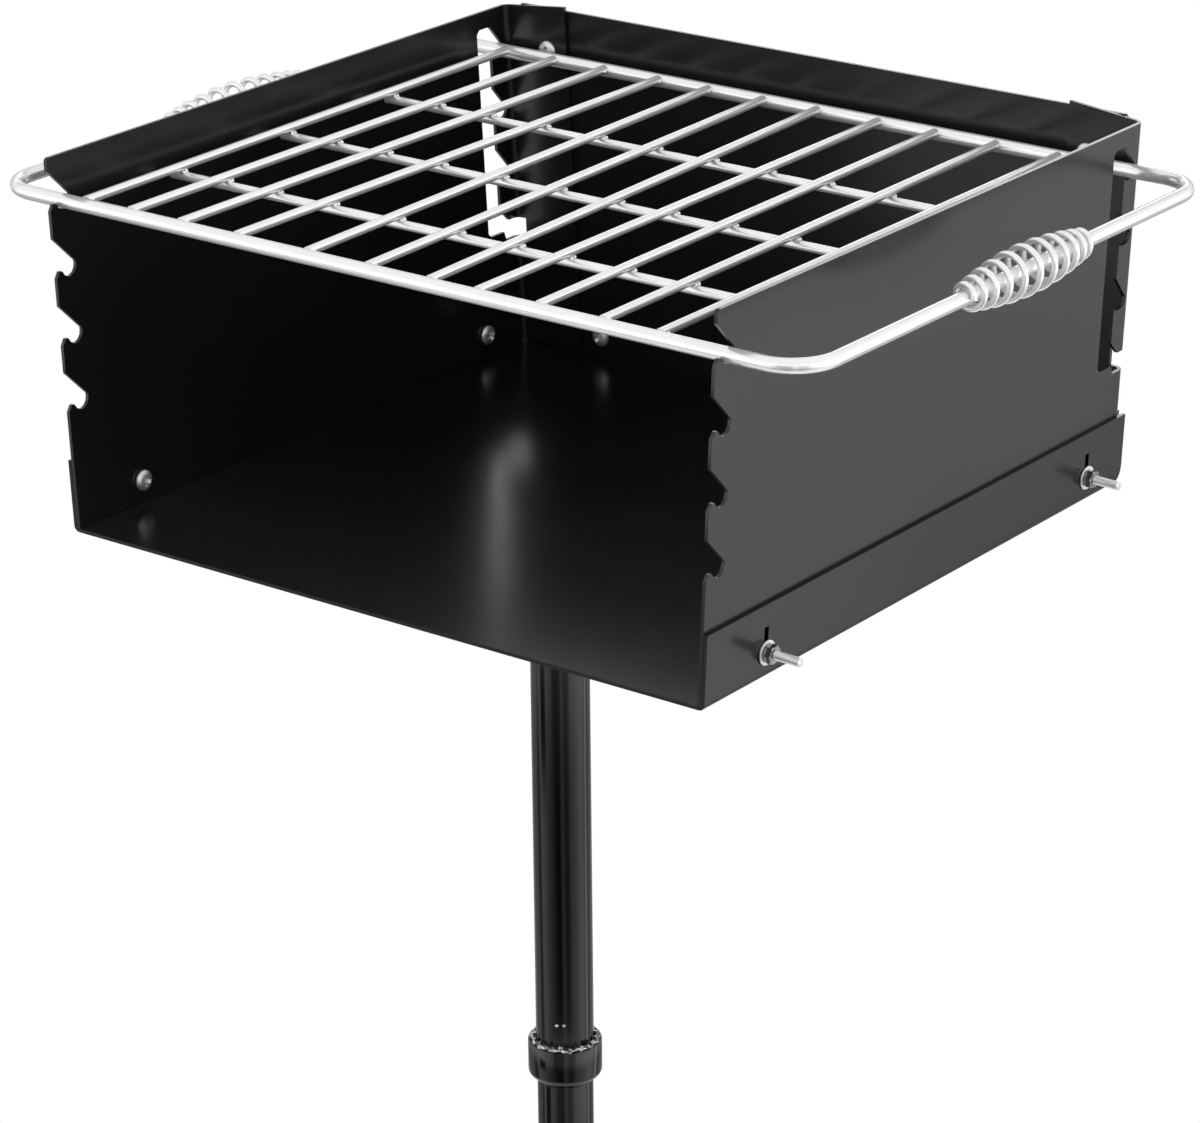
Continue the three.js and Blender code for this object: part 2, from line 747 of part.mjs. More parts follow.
const coil_line = coilPoints();
const clearance = coilClearance(coil_line);
console.log(`coil least gap to itself ${clearance.self.toFixed(2)} mm`);
console.log(`coil least gap to the rail ${clearance.rail.toFixed(2)} mm`);
for (const side of [-1, 1]) {
  const coil = sweepWire(coil_line);
  coil.translate(side * frame_half_width, coil_centre, grate_height);
  addBoxNode(side < 0 ? 'left_handle_coil' : 'right_handle_coil', coil, bright_zinc);
}

// Post: plate under the pan, upper tube, collar, inner spigot and ground tube
function buildPlate() {
  const half = plate_size / 2;
  const inner = half - plate_corner_radius;
  const points = [];
  for (const [sx, sy, quarters] of [[1, -1, -1], [1, 1, 0], [-1, 1, 1], [-1, -1, 2]]) {
    const from = quarters * quarter_deg;
    points.push(...arcPoints(sx * inner, sy * inner, plate_corner_radius,
      from, from + quarter_deg, corner_steps));
  }
  const top = pan_height_above_foot - seat_gap;
  return slab(points, top - plate_thickness, top);
}

function buildTube(diameter, wall, low, high) {
  const outer = diameter / 2;
  const inner = outer - wall;
  return turned([[inner, low], [outer, low], [outer, high], [inner, high]], tube_sides);
}

// A rippled weld bead around the post: a fillet with its legs on the tube and on the flat
function buildBead(tube_radius, leg, flat_z, up) {
  const foot = tube_radius + seat_gap;
  const base = flat_z + up * seat_gap;
  const positions = [];
  const faces = [];
  const profile_count = bead_profile_steps + 2;
  for (let i = 0; i < bead_sides; i += 1) {
    const turn = 2 * Math.PI * i / bead_sides;
    const wave = weld_ripple * Math.sin(turn * weld_ripples);
    const profile = [[foot, base]];
    for (let k = 0; k <= bead_profile_steps; k += 1) {
      const share = k / bead_profile_steps;
      const bulge = (weld_sag + wave) * Math.sin(Math.PI * share);
      const run = (1 - share) * leg + bulge;
      const rise = share * leg + bulge;
      profile.push([foot + run, base + up * rise]);
    }
    for (const [r, z] of profile) positions.push(r * Math.cos(turn), r * Math.sin(turn), z);
  }
  for (let i = 0; i < bead_sides; i += 1) {
    const j = (i + 1) % bead_sides;
    for (let k = 0; k < profile_count; k += 1) {
      const m = (k + 1) % profile_count;
      const here = i * profile_count;
      const next = j * profile_count;
      const [near, far] = up > 0 ? [here, next] : [next, here];
      const [a, b, c, d] = [near + k, far + k, near + m, far + m];
      faces.push(a, b, c, c, b, d);
    }
  }
  const geometry = new THREE.BufferGeometry();
  geometry.setAttribute('position', new THREE.Float32BufferAttribute(positions, 3));
  geometry.setIndex(faces);
  geometry.computeVertexNormals();
  return geometry;
}

function buildCollar() {
  const outer = collar_radius;
  const upper_bore = upper_post_diameter / 2 + seat_gap;
  const lower_bore = lower_post_diameter / 2 + seat_gap;
  const foot = collar_top - collar_height;
  const neck = lower_bore + collar_neck_wall;
  const recess = collar_recess_radius;
  const ledge = upper_post_foot - seat_gap;
  const shoulder = arcPoints(outer - collar_shoulder_radius, foot + collar_shoulder_radius,
    collar_shoulder_radius, -quarter_deg, 0, bend_steps).filter(([r]) => r > neck);
  const profile = [
    [lower_bore, foot - collar_neck_height],
    [neck, foot - collar_neck_height],
    [neck, foot],
  ].concat(shoulder).concat([
    [outer, collar_top - collar_rim_round],
    [outer - collar_rim_round, collar_top],
    [recess, collar_top],
    [recess, collar_top - collar_recess_depth],
    [upper_bore, collar_top - collar_recess_depth],
    [upper_bore, ledge],
    [lower_bore, ledge],
  ]);
  return turned(profile, tube_sides);
}

const plate_underside = pan_height_above_foot - seat_gap - plate_thickness;
const upper_post_top = plate_underside - seat_gap;
const collar_weld_leg = collar_recess_radius - upper_post_diameter / 2 - seat_gap - collar_weld_clearance;
addNode('post_plate', buildPlate(), black_coat);
addNode('upper_post', buildTube(upper_post_diameter, upper_post_wall,
  upper_post_foot, upper_post_top), black_coat);
addNode('plate_weld', buildBead(upper_post_diameter / 2, weld_leg, plate_underside, -1), black_coat);
addNode('swivel_collar', buildCollar(), black_coat);
addNode('collar_weld', buildBead(upper_post_diameter / 2, collar_weld_leg,
  collar_top - collar_recess_depth, 1), black_coat);
addNode('post_spigot', buildTube(spigot_diameter, spigot_wall,
  lower_post_top - spigot_down, upper_post_foot + spigot_up), bright_zinc);
addNode('lower_post', buildTube(lower_post_diameter, lower_post_wall, 0, lower_post_top), black_coat);

export default grill;
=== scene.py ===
"""Park charcoal grill on a ground post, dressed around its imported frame."""
import math
from contextlib import contextmanager

import bmesh
import bpy
from bpy.props import FloatProperty, FloatVectorProperty, IntProperty, PointerProperty
from mathutils import Matrix, Vector


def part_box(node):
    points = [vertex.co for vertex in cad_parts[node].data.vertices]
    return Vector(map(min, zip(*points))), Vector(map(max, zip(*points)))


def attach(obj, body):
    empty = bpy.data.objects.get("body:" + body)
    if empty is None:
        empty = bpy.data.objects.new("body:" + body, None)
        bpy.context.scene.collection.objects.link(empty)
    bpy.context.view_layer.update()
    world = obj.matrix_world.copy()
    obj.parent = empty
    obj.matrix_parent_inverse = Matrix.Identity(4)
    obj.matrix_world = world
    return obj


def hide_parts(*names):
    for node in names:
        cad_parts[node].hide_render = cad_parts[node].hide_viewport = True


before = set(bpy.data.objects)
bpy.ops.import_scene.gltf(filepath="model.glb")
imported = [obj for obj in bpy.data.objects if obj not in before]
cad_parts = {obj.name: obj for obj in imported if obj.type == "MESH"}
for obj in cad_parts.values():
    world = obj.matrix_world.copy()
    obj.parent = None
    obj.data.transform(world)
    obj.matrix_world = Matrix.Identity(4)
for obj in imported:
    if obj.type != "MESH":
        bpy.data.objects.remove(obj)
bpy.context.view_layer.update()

bl_info = {
    "name": "Park Grill on a Ground Post",
    "version": (1, 0, 0),
    "blender": (4, 5, 0),
    "location": "View3D > Sidebar > Park Grill",
    "description": "Builds the visible pieces of a coated steel park grill with a wire cooking grate",
    "category": "Add Mesh",
}

# Names that the pieces share
HEAD = "grill_head"
GRATE = "cooking_grate"
GROUND = "ground_post"
SIDES = ("left", "right")
BOLT_PLACES = ("front_pan", "rear_pan", "back_pan", "flange")
CROSS_RODS = ("front_cross_rod", "middle_cross_rod", "rear_cross_rod")
BARS = tuple(sorted((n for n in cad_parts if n.startswith("grate_bar_")),
                    key=lambda n: int(n.rsplit("_", 1)[1])))

# Metres of play that the frame leaves between pieces that touch
PLAY = 0.0003

# The picture's frame and the camera that fits it
PICTURE_WIDTH = 1200
SENSOR_WIDTH_MM = 36
FOCAL_PIXELS = 4497.78
CAMERA_PLACE = (1.3589, -1.7546, 1.9250)
CAMERA_AZIMUTH = math.radians(37.191)
CAMERA_RISE = math.radians(21.594)
CAMERA_ROLL = math.radians(-0.55)

# Light of the studio by bearing from the camera's side, in degrees, from low down to overhead
LOW_LEVELS = ((-180, 0.5), (-134, 0.34), (-114, 0.44), (-99, 0.09), (-86, 0.84), (-74, 0.76), (-60, 0.52),
              (-46, 0.3), (-36, 0.2), (-26, 0.06), (-18, 0.0), (-10, 0.0), (3, 0.38), (14, 0.1), (24, 0.12),
              (34, 0.48), (50, 0.69), (66, 0.98), (78, 1.18), (90, 0.98), (98, 0.56), (103, 1.14), (106, 1.72),
              (109, 1.25), (112, 0.7), (115, 0.24), (122, 0.36), (134, 0.38), (180, 0.5))
LEVEL_LEVELS = ((-180, 0.72), (-130, 0.85), (-92, 1.3), (-82, 1.8), (-66, 1.6), (-56, 1.3), (-40, 1.0),
                (-30, 0.3), (-8, 0.3), (3, 0.9), (14, 0.5), (24, 0.6), (40, 1.6), (60, 1.9), (88, 1.9), (98, 1.2),
                (104, 2.15), (109, 2.0), (115, 1.15), (140, 0.9), (180, 0.72))
GLOW_LEVELS = ((-180, 2.5), (-130, 0.9), (-60, 1.3), (60, 1.6), (140, 0.95), (165, 1.6), (171, 5.8),
               (176.5, 5.8), (180, 2.5))
SKY_LEVELS = ((-180, 0.35), (-110, 0.9), (-50, 1.3), (0, 1.3), (50, 1.3), (110, 1.0), (180, 0.35))
CROWN_LEVELS = ((-180, 0.95), (180, 0.95))
# Each ring of light takes over from the one below it between two heights of the direction
RINGS = ((LEVEL_LEVELS, -0.4, -0.25), (GLOW_LEVELS, 0.25, 0.31), (SKY_LEVELS, 0.32, 0.46),
         (CROWN_LEVELS, 0.5, 0.62))
# A dark gap in that light, which the front edges of the sheets mirror
GAP_SHARES = ((-180, 0.0), (-86, 0.0), (-81, 1.0), (-64, 1.0), (-59, 0.0), (180, 0.0))
GAP_FOOT = (-0.405, -0.385)
GAP_TOP = (-0.27, -0.3)


# Small helpers for meshes
def link(name, data):
    piece = bpy.data.objects.new(name, data)
    bpy.context.scene.collection.objects.link(piece)
    return piece


def mesh_from(name, points, faces, edges=()):
    mesh = bpy.data.meshes.new(name)
    mesh.from_pydata(points, edges, faces)
    mesh.update()
    return mesh


@contextmanager
def editing(mesh):
    """Opens a mesh for editing, and writes it back afterwards."""
    work = bmesh.new()
    work.from_mesh(mesh)
    yield work
    work.to_mesh(mesh)
    work.free()


def face_outward(mesh):
    with editing(mesh) as work:
        bmesh.ops.recalc_face_normals(work, faces=work.faces)


def smooth(mesh, sharp_deg):
    mesh.shade_smooth()
    mesh.set_sharp_from_angle(angle=math.radians(sharp_deg))


def finish_piece(piece, body, material, nodes=()):
    """A finished mesh gets its one material and its body."""
    piece.data.materials.clear()
    piece.data.materials.append(material)
    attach(piece, body)
    if nodes:
        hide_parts(*nodes)


def bake(piece):
    """Turns a piece with live modifiers into a plain mesh."""
    graph = bpy.context.evaluated_depsgraph_get()
    graph.update()
    mesh = bpy.data.meshes.new_from_object(piece.evaluated_get(graph))
    mesh.name = piece.name
    piece.modifiers.clear()
    piece.data = mesh


def turned_mesh(name, profile, sides, closed=True):
    """Spins radius and height pairs about Z. A radius of zero becomes one pole."""
    points, rows = [], []
    for radius, height in profile:
        if radius == 0:
            rows.append([len(points)])
            points.append((0, 0, height))
            continue
        rows.append(list(range(len(points), len(points) + sides)))
        for i in range(sides):
            turn = 2 * math.pi * i / sides
            points.append((radius * math.cos(turn), radius * math.sin(turn), height))
    faces = []
    pairs = list(zip(rows, rows[1:]))
    if closed:
        pairs.append((rows[-1], rows[0]))
    for low, high in pairs:
        for i in range(sides):
            j = (i + 1) % sides
            ring = [low[i % len(low)], low[j % len(low)], high[j % len(high)], high[i % len(high)]]
            corners = list(dict.fromkeys(ring))
            if len(corners) > 2:
                faces.append(corners)
    mesh = mesh_from(name, points, faces)
    face_outward(mesh)
    return mesh


def rounded(profile, radius):
    """Rounds each corner of a closed profile of radius and height pairs."""
    steps = 3
    line = []
    count = len(profile)
    for i, corner in enumerate(profile):
        here = Vector(corner)
        before = Vector(profile[i - 1]) - here
        after = Vector(profile[(i + 1) % count]) - here
        cut = min(radius, before.length * 0.45, after.length * 0.45)
        start = here + before.normalized() * cut
        end = here + after.normalized() * cut
        for k in range(steps + 1):
            share = k / steps
            point = start.lerp(here, share).lerp(here.lerp(end, share), share)
            line.append((point.x, point.y))
    return line


def band_faces(row, after, columns):
    """Four-sided faces between two rows of points."""
    corners = [(i, (i + 1) % columns) for i in range(columns)]
    return [(row * columns + i, row * columns + j, after * columns + j, after * columns + i) for i, j in corners]


# Small helpers that read the frame
def node_points(node):
    return [v.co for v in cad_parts[node].data.vertices]


def middle_of(points):
    return sum(points, Vector()) / len(points)


def half_size(node, axis):
    low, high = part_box(node)
    return (high[axis] - low[axis]) / 2


def rod_ends(node, axis):
    """The middle of each end of a straight rod node, low end first."""
    end_depth = 2e-4
    return [middle_of([p for p in node_points(node) if abs(p[axis] - corner[axis]) < end_depth])
            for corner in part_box(node)]


# Small helpers for node trees
def feed(tree, node, feeds):
    """Links an input to a socket, or sets it to a value."""
    for key, value in feeds.items():
        if isinstance(value, bpy.types.NodeSocket):
            tree.links.new(value, node.inputs[key])
        else:
            node.inputs[key].default_value = value


def put(tree, kind, feeds=None, **settings):
    """Adds a node, sets its options and feeds its inputs."""
    node = tree.nodes.new(kind)
    for name, value in settings.items():
        setattr(node, name, value)
    feed(tree, node, feeds or {})
    return node


def calculate(tree, operation, *values):
    """One step of arithmetic on sockets and numbers."""
    return put(tree, "ShaderNodeMath", dict(enumerate(values)), operation=operation).outputs[0]


def mix_colors(tree, factor, first, second):
    node = put(tree, "ShaderNodeMix", {"Factor": factor}, data_type="RGBA")
    places = [i for i, entry in enumerate(node.inputs) if entry.type == "RGBA"]
    feed(tree, node, dict(zip(places, (first, second))))
    return next(entry for entry in node.outputs if entry.type == "RGBA")


def empty_tree(owner):
    """The node tree of a new material or world, without its first nodes."""
    owner.use_nodes = True
    owner.node_tree.nodes.clear()
    return owner.node_tree


def made_once(name, build):
    """The node group of that name, which its first use builds."""
    return bpy.data.node_groups.get(name) or build(name)


def new_group(name, kind, inputs, outputs):
    """A node tree with named sockets. Each input is its name, kind and default."""
    tree = bpy.data.node_groups.new(name, kind)
    for label, socket, default in inputs:
        made = tree.interface.new_socket(name=label, in_out="INPUT", socket_type=socket)
        if default is not None:
            made.default_value = default
    for label, socket in outputs:
        tree.interface.new_socket(name=label, in_out="OUTPUT", socket_type=socket)
    return tree, tree.nodes.new("NodeGroupInput"), tree.nodes.new("NodeGroupOutput")


def new_geometry(name, inputs):
    """A geometry tree that also takes the finish of its piece."""
    return new_group(name, "GeometryNodeTree", [*inputs, ("Finish", "NodeSocketMaterial", None)],
                     [("Geometry", "NodeSocketGeometry")])


def end_geometry(tree, geometry, given, out):
    """Ends a geometry tree in real geometry of that finish."""
    whole = put(tree, "GeometryNodeRealizeInstances", {"Geometry": geometry})
    coated = put(tree, "GeometryNodeSetMaterial", {
        "Geometry": whole.outputs["Geometry"], "Material": given.outputs["Finish"]})
    tree.links.new(coated.outputs["Geometry"], out.inputs["Geometry"])
    return tree


def run_tree(piece, tree, values):
    """Runs a geometry tree on a piece with named values, and keeps the plain mesh."""
    modifier = piece.modifiers.new(tree.name, "NODES")
    modifier.node_group = tree
    sockets = {s.name: s.identifier for s in tree.interface.items_tree if s.in_out == "INPUT"}
    for name, value in values.items():
        modifier[sockets[name]] = value
    bake(piece)


# Finishes
def speckle_group(name):
    """Fine unevenness of a surface: a height for the bump and a mask for gloss and tone."""
    tree, given, out = new_group(
        name, "ShaderNodeTree",
        [("Fine Scale", "NodeSocketFloat", 900.0), ("Broad Scale", "NodeSocketFloat", 12.0)],
        [("Height", "NodeSocketFloat"), ("Mask", "NodeSocketFloat")])
    where = put(tree, "ShaderNodeTexCoord").outputs["Object"]
    fine = put(tree, "ShaderNodeTexNoise", {
        "Vector": where, "Scale": given.outputs["Fine Scale"], "Detail": 2.0, "Roughness": 0.5})
    broad = put(tree, "ShaderNodeTexNoise", {
        "Vector": where, "Scale": given.outputs["Broad Scale"], "Detail": 3.0, "Roughness": 0.55})
    mask = put(tree, "ShaderNodeMapRange", {
        "Value": broad.outputs["Fac"], "From Min": 0.32, "From Max": 0.68})
    tree.links.new(fine.outputs["Fac"], out.inputs["Height"])
    tree.links.new(mask.outputs["Result"], out.inputs["Mask"])
    return tree


def new_material(name, scales, colors, roughness, spread, bump, metallic=0.0, haze=0.0, sheen_level=0.5,
                 edge_tint=1.0):
    """A finish whose colour and roughness wander between two values over the surface.

    The scales are its fine and broad ones, the bump is a strength and a distance in metres, and the haze is
    a broad gloss over the sharp one.
    """
    material = bpy.data.materials.new(name)
    tree = empty_tree(material)
    speckle = put(tree, "ShaderNodeGroup", {"Fine Scale": scales[0], "Broad Scale": scales[1]},
                  node_tree=made_once("surface_speckle", speckle_group))
    tone = mix_colors(tree, speckle.outputs["Mask"], (*colors[0], 1), (*colors[1], 1))
    rough = put(tree, "ShaderNodeMapRange", {
        "Value": speckle.outputs["Mask"], "To Min": roughness, "To Max": roughness + spread})
    relief = put(tree, "ShaderNodeBump", {
        "Height": speckle.outputs["Height"], "Strength": bump[0], "Distance": bump[1]})
    shader = put(tree, "ShaderNodeBsdfPrincipled", {
        "Base Color": tone,
        "Roughness": rough.outputs["Result"],
        "Metallic": metallic,
        "Specular IOR Level": sheen_level,
        "Specular Tint": (edge_tint, edge_tint, edge_tint, 1),
        "Coat Weight": haze,
        "Coat Roughness": 0.5,
        "Normal": relief.outputs["Normal"],
        "Coat Normal": relief.outputs["Normal"],
    })
    put(tree, "ShaderNodeOutputMaterial", {"Surface": shader.outputs["BSDF"]})
    return material


def two_tones(color, share):
    """A colour, and the same one scaled by a share."""
    return tuple(color), tuple(share * c for c in color)


def finish_for(kind):
    """One finish of the grill by its name, made once from the user's values."""
    made = bpy.data.materials.get(kind)
    if made:
        return made
    looks = bpy.context.scene.grill_finish
    coat = {"scales": (looks.peel_scale, 9.0), "colors": two_tones(looks.coat_color, 1.25),
            "roughness": looks.coat_roughness, "spread": 0.03, "bump": (0.1, 0.0002)}
    zinc = {"scales": (1400.0, 150.0), "colors": two_tones(looks.zinc_color, 0.85),
            "roughness": looks.zinc_roughness, "spread": 0.1, "bump": (0.1, 0.0002), "metallic": 1.0}
    dark_zinc = tuple(0.4 * c for c in looks.zinc_color)
    finishes = {
        "black_powder_coat": coat,
        "hazy_panel_coat": {**coat, "haze": looks.panel_haze, "sheen_level": 0.34},
        "glossy_tube_coat": {**coat, "roughness": looks.tube_roughness, "spread": 0.02, "bump": (0.05, 0.0002)},
        # Painted glints: patches of bright metal stand in for highlights on a weld bead and spatter that are coated
        # black
        "painted_weld": {"scales": (900.0, 330.0), "colors": ((0.62, 0.62, 0.62), (0.004, 0.004, 0.004)),
                         "roughness": 0.08, "spread": 0.08, "bump": (0.3, 0.0003), "metallic": 1.0},
        "zinc_plate": zinc,
        "nut_steel": {**zinc, "colors": two_tones(dark_zinc, 0.7), "spread": 0.15},
        "bright_wire": {"scales": (500.0, 60.0), "colors": two_tones(looks.wire_color, 0.94),
                        "roughness": looks.wire_roughness, "spread": 0.06, "bump": (0.08, 0.0002),
                        "metallic": 0.56, "edge_tint": 0.4},
    }
    return new_material(kind, **finishes[kind])


# Values that the user can change
class GRILL_PG_finish(bpy.types.PropertyGroup):
    coat_color: FloatVectorProperty(
        name="Coat Color", description="Colour of the black powder coat",
        subtype="COLOR", size=3, min=0, max=1, default=(0.0028, 0.0028, 0.0034))
    coat_roughness: FloatProperty(
        name="Coat Roughness", description="How blurred the coat's reflections are",
        min=0.05, max=1, default=0.2)
    panel_haze: FloatProperty(
        name="Panel Haze", description="Strength of the broad gloss over the panels' sharp one",
        min=0, max=1, default=0.34)
    tube_roughness: FloatProperty(
        name="Tube Coat Roughness", description="How blurred the reflections are on the post's tubes",
        min=0.05, max=1, default=0.11)
    peel_scale: FloatProperty(
        name="Peel Scale", description="Ripples of the coat in each metre",
        min=50, max=5000, default=380)
    wire_color: FloatVectorProperty(
        name="Wire Color", description="Colour of the plated rods and wire",
        subtype="COLOR", size=3, min=0, max=1, default=(0.94, 0.94, 0.945))
    wire_roughness: FloatProperty(
        name="Wire Roughness", description="How blurred the wire's reflections are",
        min=0.05, max=1, default=0.16)
    zinc_color: FloatVectorProperty(
        name="Zinc Color", description="Colour of the plated bolts, washers and nuts",
        subtype="COLOR", size=3, min=0, max=1, default=(0.78, 0.78, 0.79))
    zinc_roughness: FloatProperty(
        name="Zinc Roughness", description="How blurred the zinc's reflections are",
        min=0.05, max=1, default=0.12)


class GRILL_PG_sizes(bpy.types.PropertyGroup):
    edge_radius: FloatProperty(
        name="Edge Radius", description="Rounding of the coated sheet's edges",
        unit="LENGTH", min=0, max=0.0009, default=0.0003)
    foot_drop: FloatProperty(
        name="Foot Drop", description="How far the coat carries a side panel's foot down to the pan",
        unit="LENGTH", min=0, max=0.0018, default=0.0017)
    rod_sides: IntProperty(
        name="Rod Sides", description="Facets around each rod", min=8, max=64, default=28)
    coil_turns: FloatProperty(
        name="Coil Turns", description="Turns of each handle's wire", min=4, max=20, default=10.5)
    coil_wire: FloatProperty(
        name="Coil Wire", description="Diameter of each handle's wire",
        unit="LENGTH", min=0.001, max=0.005, default=0.0034)
    coil_fullness: FloatProperty(
        name="Coil Fullness", description="Lower values make the barrel fuller near its ends",
        min=0.3, max=2, default=0.95)
    coil_stretch: FloatProperty(
        name="Coil Stretch", description="How much wider the turns stand at the barrel's middle",
        min=0, max=0.8, default=0.3)
    thread_pitch: FloatProperty(
        name="Thread Pitch", description="Distance between a bolt's threads",
        unit="LENGTH", min=0.0005, max=0.002, default=0.0008)
    nub_size: FloatProperty(
        name="Weld Nub", description="Size of the flash where two rods are welded",
        unit="LENGTH", min=0.0005, max=0.004, default=0.0015)


class GRILL_PG_stage(bpy.types.PropertyGroup):
    floor_color: FloatVectorProperty(
        name="Floor Color", description="Colour of the floor",
        subtype="COLOR", size=3, min=0, max=1, default=(0.8, 0.8, 0.8))
    floor_radius: FloatProperty(
        name="Floor Radius", description="Reach of the floor around the post",
        unit="LENGTH", min=0.5, max=6, default=1.0)


# Coated sheets
class GRILL_OT_coat_sheets(bpy.types.Operator):
    """Round the edges of the pan and its three panels, and coat them black"""
    bl_idname = "grill.coat_sheets"
    bl_label = "Coated Sheets"

    def execute(self, context):
        sizes = context.scene.grill_sizes
        sheets = {"fire_pan": "pan_sheet", "left_side_panel": "left_panel_sheet",
                  "right_side_panel": "right_panel_sheet", "back_panel": "back_panel_sheet"}
        foot_band = 0.0003
        for node, name in sheets.items():
            work = bmesh.new()
            work.from_mesh(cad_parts[node].data)
            bmesh.ops.remove_doubles(work, verts=work.verts, dist=2e-6)
            bmesh.ops.dissolve_limit(work, angle_limit=math.radians(0.5), verts=work.verts, edges=work.edges)
            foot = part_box(node)[0].z
            if node != "fire_pan":
                for v in work.verts:
                    if v.co.z < foot + foot_band:
                        v.co.z -= sizes.foot_drop
            mesh = bpy.data.meshes.new(name)
            work.to_mesh(mesh)
            work.free()
            piece = link(name, mesh)
            bevel = piece.modifiers.new("edge", "BEVEL")
            bevel.width = sizes.edge_radius
            bevel.segments = 2
            bevel.limit_method = "ANGLE"
            bevel.angle_limit = math.radians(40)
            level = piece.modifiers.new("even_shading", "WEIGHTED_NORMAL")
            level.weight = 100
            mesh.shade_smooth()
            bake(piece)
            coat = finish_for("black_powder_coat" if node == "fire_pan" else "hazy_panel_coat")
            finish_piece(piece, HEAD, coat, [node])
        return {"FINISHED"}


# Rods of the grate and the handles
def sweep_tree(name):
    """Sweeps a round section along edges. The points' girth thins the section."""
    tree, given, out = new_geometry(name, [
        ("Path", "NodeSocketGeometry", None), ("Radius", "NodeSocketFloat", 0.0025),
        ("Sides", "NodeSocketInt", 24)])
    line = put(tree, "GeometryNodeMeshToCurve", {"Mesh": given.outputs["Path"]})
    girth = put(tree, "GeometryNodeInputNamedAttribute", {"Name": "girth"}, data_type="FLOAT")
    sized = put(tree, "GeometryNodeSetCurveRadius", {
        "Curve": line.outputs["Curve"], "Radius": girth.outputs["Attribute"]})
    section = put(tree, "GeometryNodeCurvePrimitiveCircle", {
        "Resolution": given.outputs["Sides"], "Radius": given.outputs["Radius"]})
    swept = put(tree, "GeometryNodeCurveToMesh", {
        "Curve": sized.outputs["Curve"], "Profile Curve": section.outputs["Curve"], "Fill Caps": True})
    return end_geometry(tree, swept.outputs["Mesh"], given, out)


def swept_rods(name, runs, radius, sides, finish, loop=False):
    """One mesh of round rods along lists of points. Open runs get domed ends."""
    points, edges, girths = [], [], []
    for run in runs:
        start = len(points)
        run = [Vector(p) for p in run]
        if loop:
            line, girth = run, [1.0] * len(run)
        else:
            line, girth = domed_run(run, radius)
        points.extend(line)
        girths.extend(girth)
        edges.extend((start + i, start + i + 1) for i in range(len(line) - 1))
        if loop:
            edges.append((start + len(line) - 1, start))
    mesh = mesh_from(name, points, [], edges)
    layer = mesh.attributes.new("girth", "FLOAT", "POINT")
    layer.data.foreach_set("value", girths)
    piece = link(name, mesh)
    run_tree(piece, made_once("sweep_rod", sweep_tree), {"Radius": radius, "Sides": sides, "Finish": finish})
    face_outward(piece.data)
    smooth(piece.data, 50)
    return piece


def domed_run(run, radius):
    """Adds points at both ends of a run whose girth falls off like a worn cut end."""
    shares = ((0.0, 0.62), (0.12, 0.85), (0.3, 0.96), (0.5, 1.0))
    head = (run[1] - run[0]).normalized()
    tail = (run[-2] - run[-1]).normalized()
    line = [run[0] + head * radius * s for s, _ in shares] + run[1:-1]
    line += [run[-1] + tail * radius * s for s, _ in reversed(shares)]
    girth = [g for _, g in shares] + [1.0] * (len(run) - 2) + [g for _, g in reversed(shares)]
    return line, girth


def push_out(tree, geometry, depth):
    """Moves each point of a geometry along its normal."""
    normal = put(tree, "GeometryNodeInputNormal")
    push = put(tree, "ShaderNodeVectorMath", {0: normal.outputs[0], "Scale": depth}, operation="SCALE")
    moved = put(tree, "GeometryNodeSetPosition", {"Geometry": geometry, "Offset": push.outputs["Vector"]})
    return moved.outputs["Geometry"]


def nub_tree(name):
    """Places a rough weld nub on every point, turned and sized at random."""
    tree, given, out = new_geometry(name, [
        ("Crossings", "NodeSocketGeometry", None), ("Size", "NodeSocketFloat", 0.002),
        ("Seed", "NodeSocketInt", 7)])
    ball = put(tree, "GeometryNodeMeshIcoSphere", {"Radius": given.outputs["Size"], "Subdivisions": 2})
    rough = put(tree, "ShaderNodeTexNoise", {"Scale": 700.0, "Detail": 2.0}, noise_dimensions="3D")
    amount = calculate(tree, "SUBTRACT", rough.outputs["Fac"], 0.5)
    depth = calculate(tree, "MULTIPLY", amount, given.outputs["Size"])
    lump = push_out(tree, ball.outputs["Mesh"], depth)
    full_turn = (6.28, 6.28, 6.28)
    spin = put(tree, "FunctionNodeRandomValue", {
        "Seed": given.outputs["Seed"], "Max": full_turn}, data_type="FLOAT_VECTOR")
    scale = put(tree, "FunctionNodeRandomValue", {
        "Seed": given.outputs["Seed"], "Min": (0.65, 0.65, 0.5), "Max": (1.15, 1.15, 0.85)},
        data_type="FLOAT_VECTOR")
    spots = put(tree, "GeometryNodeInstanceOnPoints", {
        "Points": given.outputs["Crossings"], "Instance": lump,
        "Rotation": spin.outputs["Value"], "Scale": scale.outputs["Value"]})
    return end_geometry(tree, spots.outputs["Instances"], given, out)


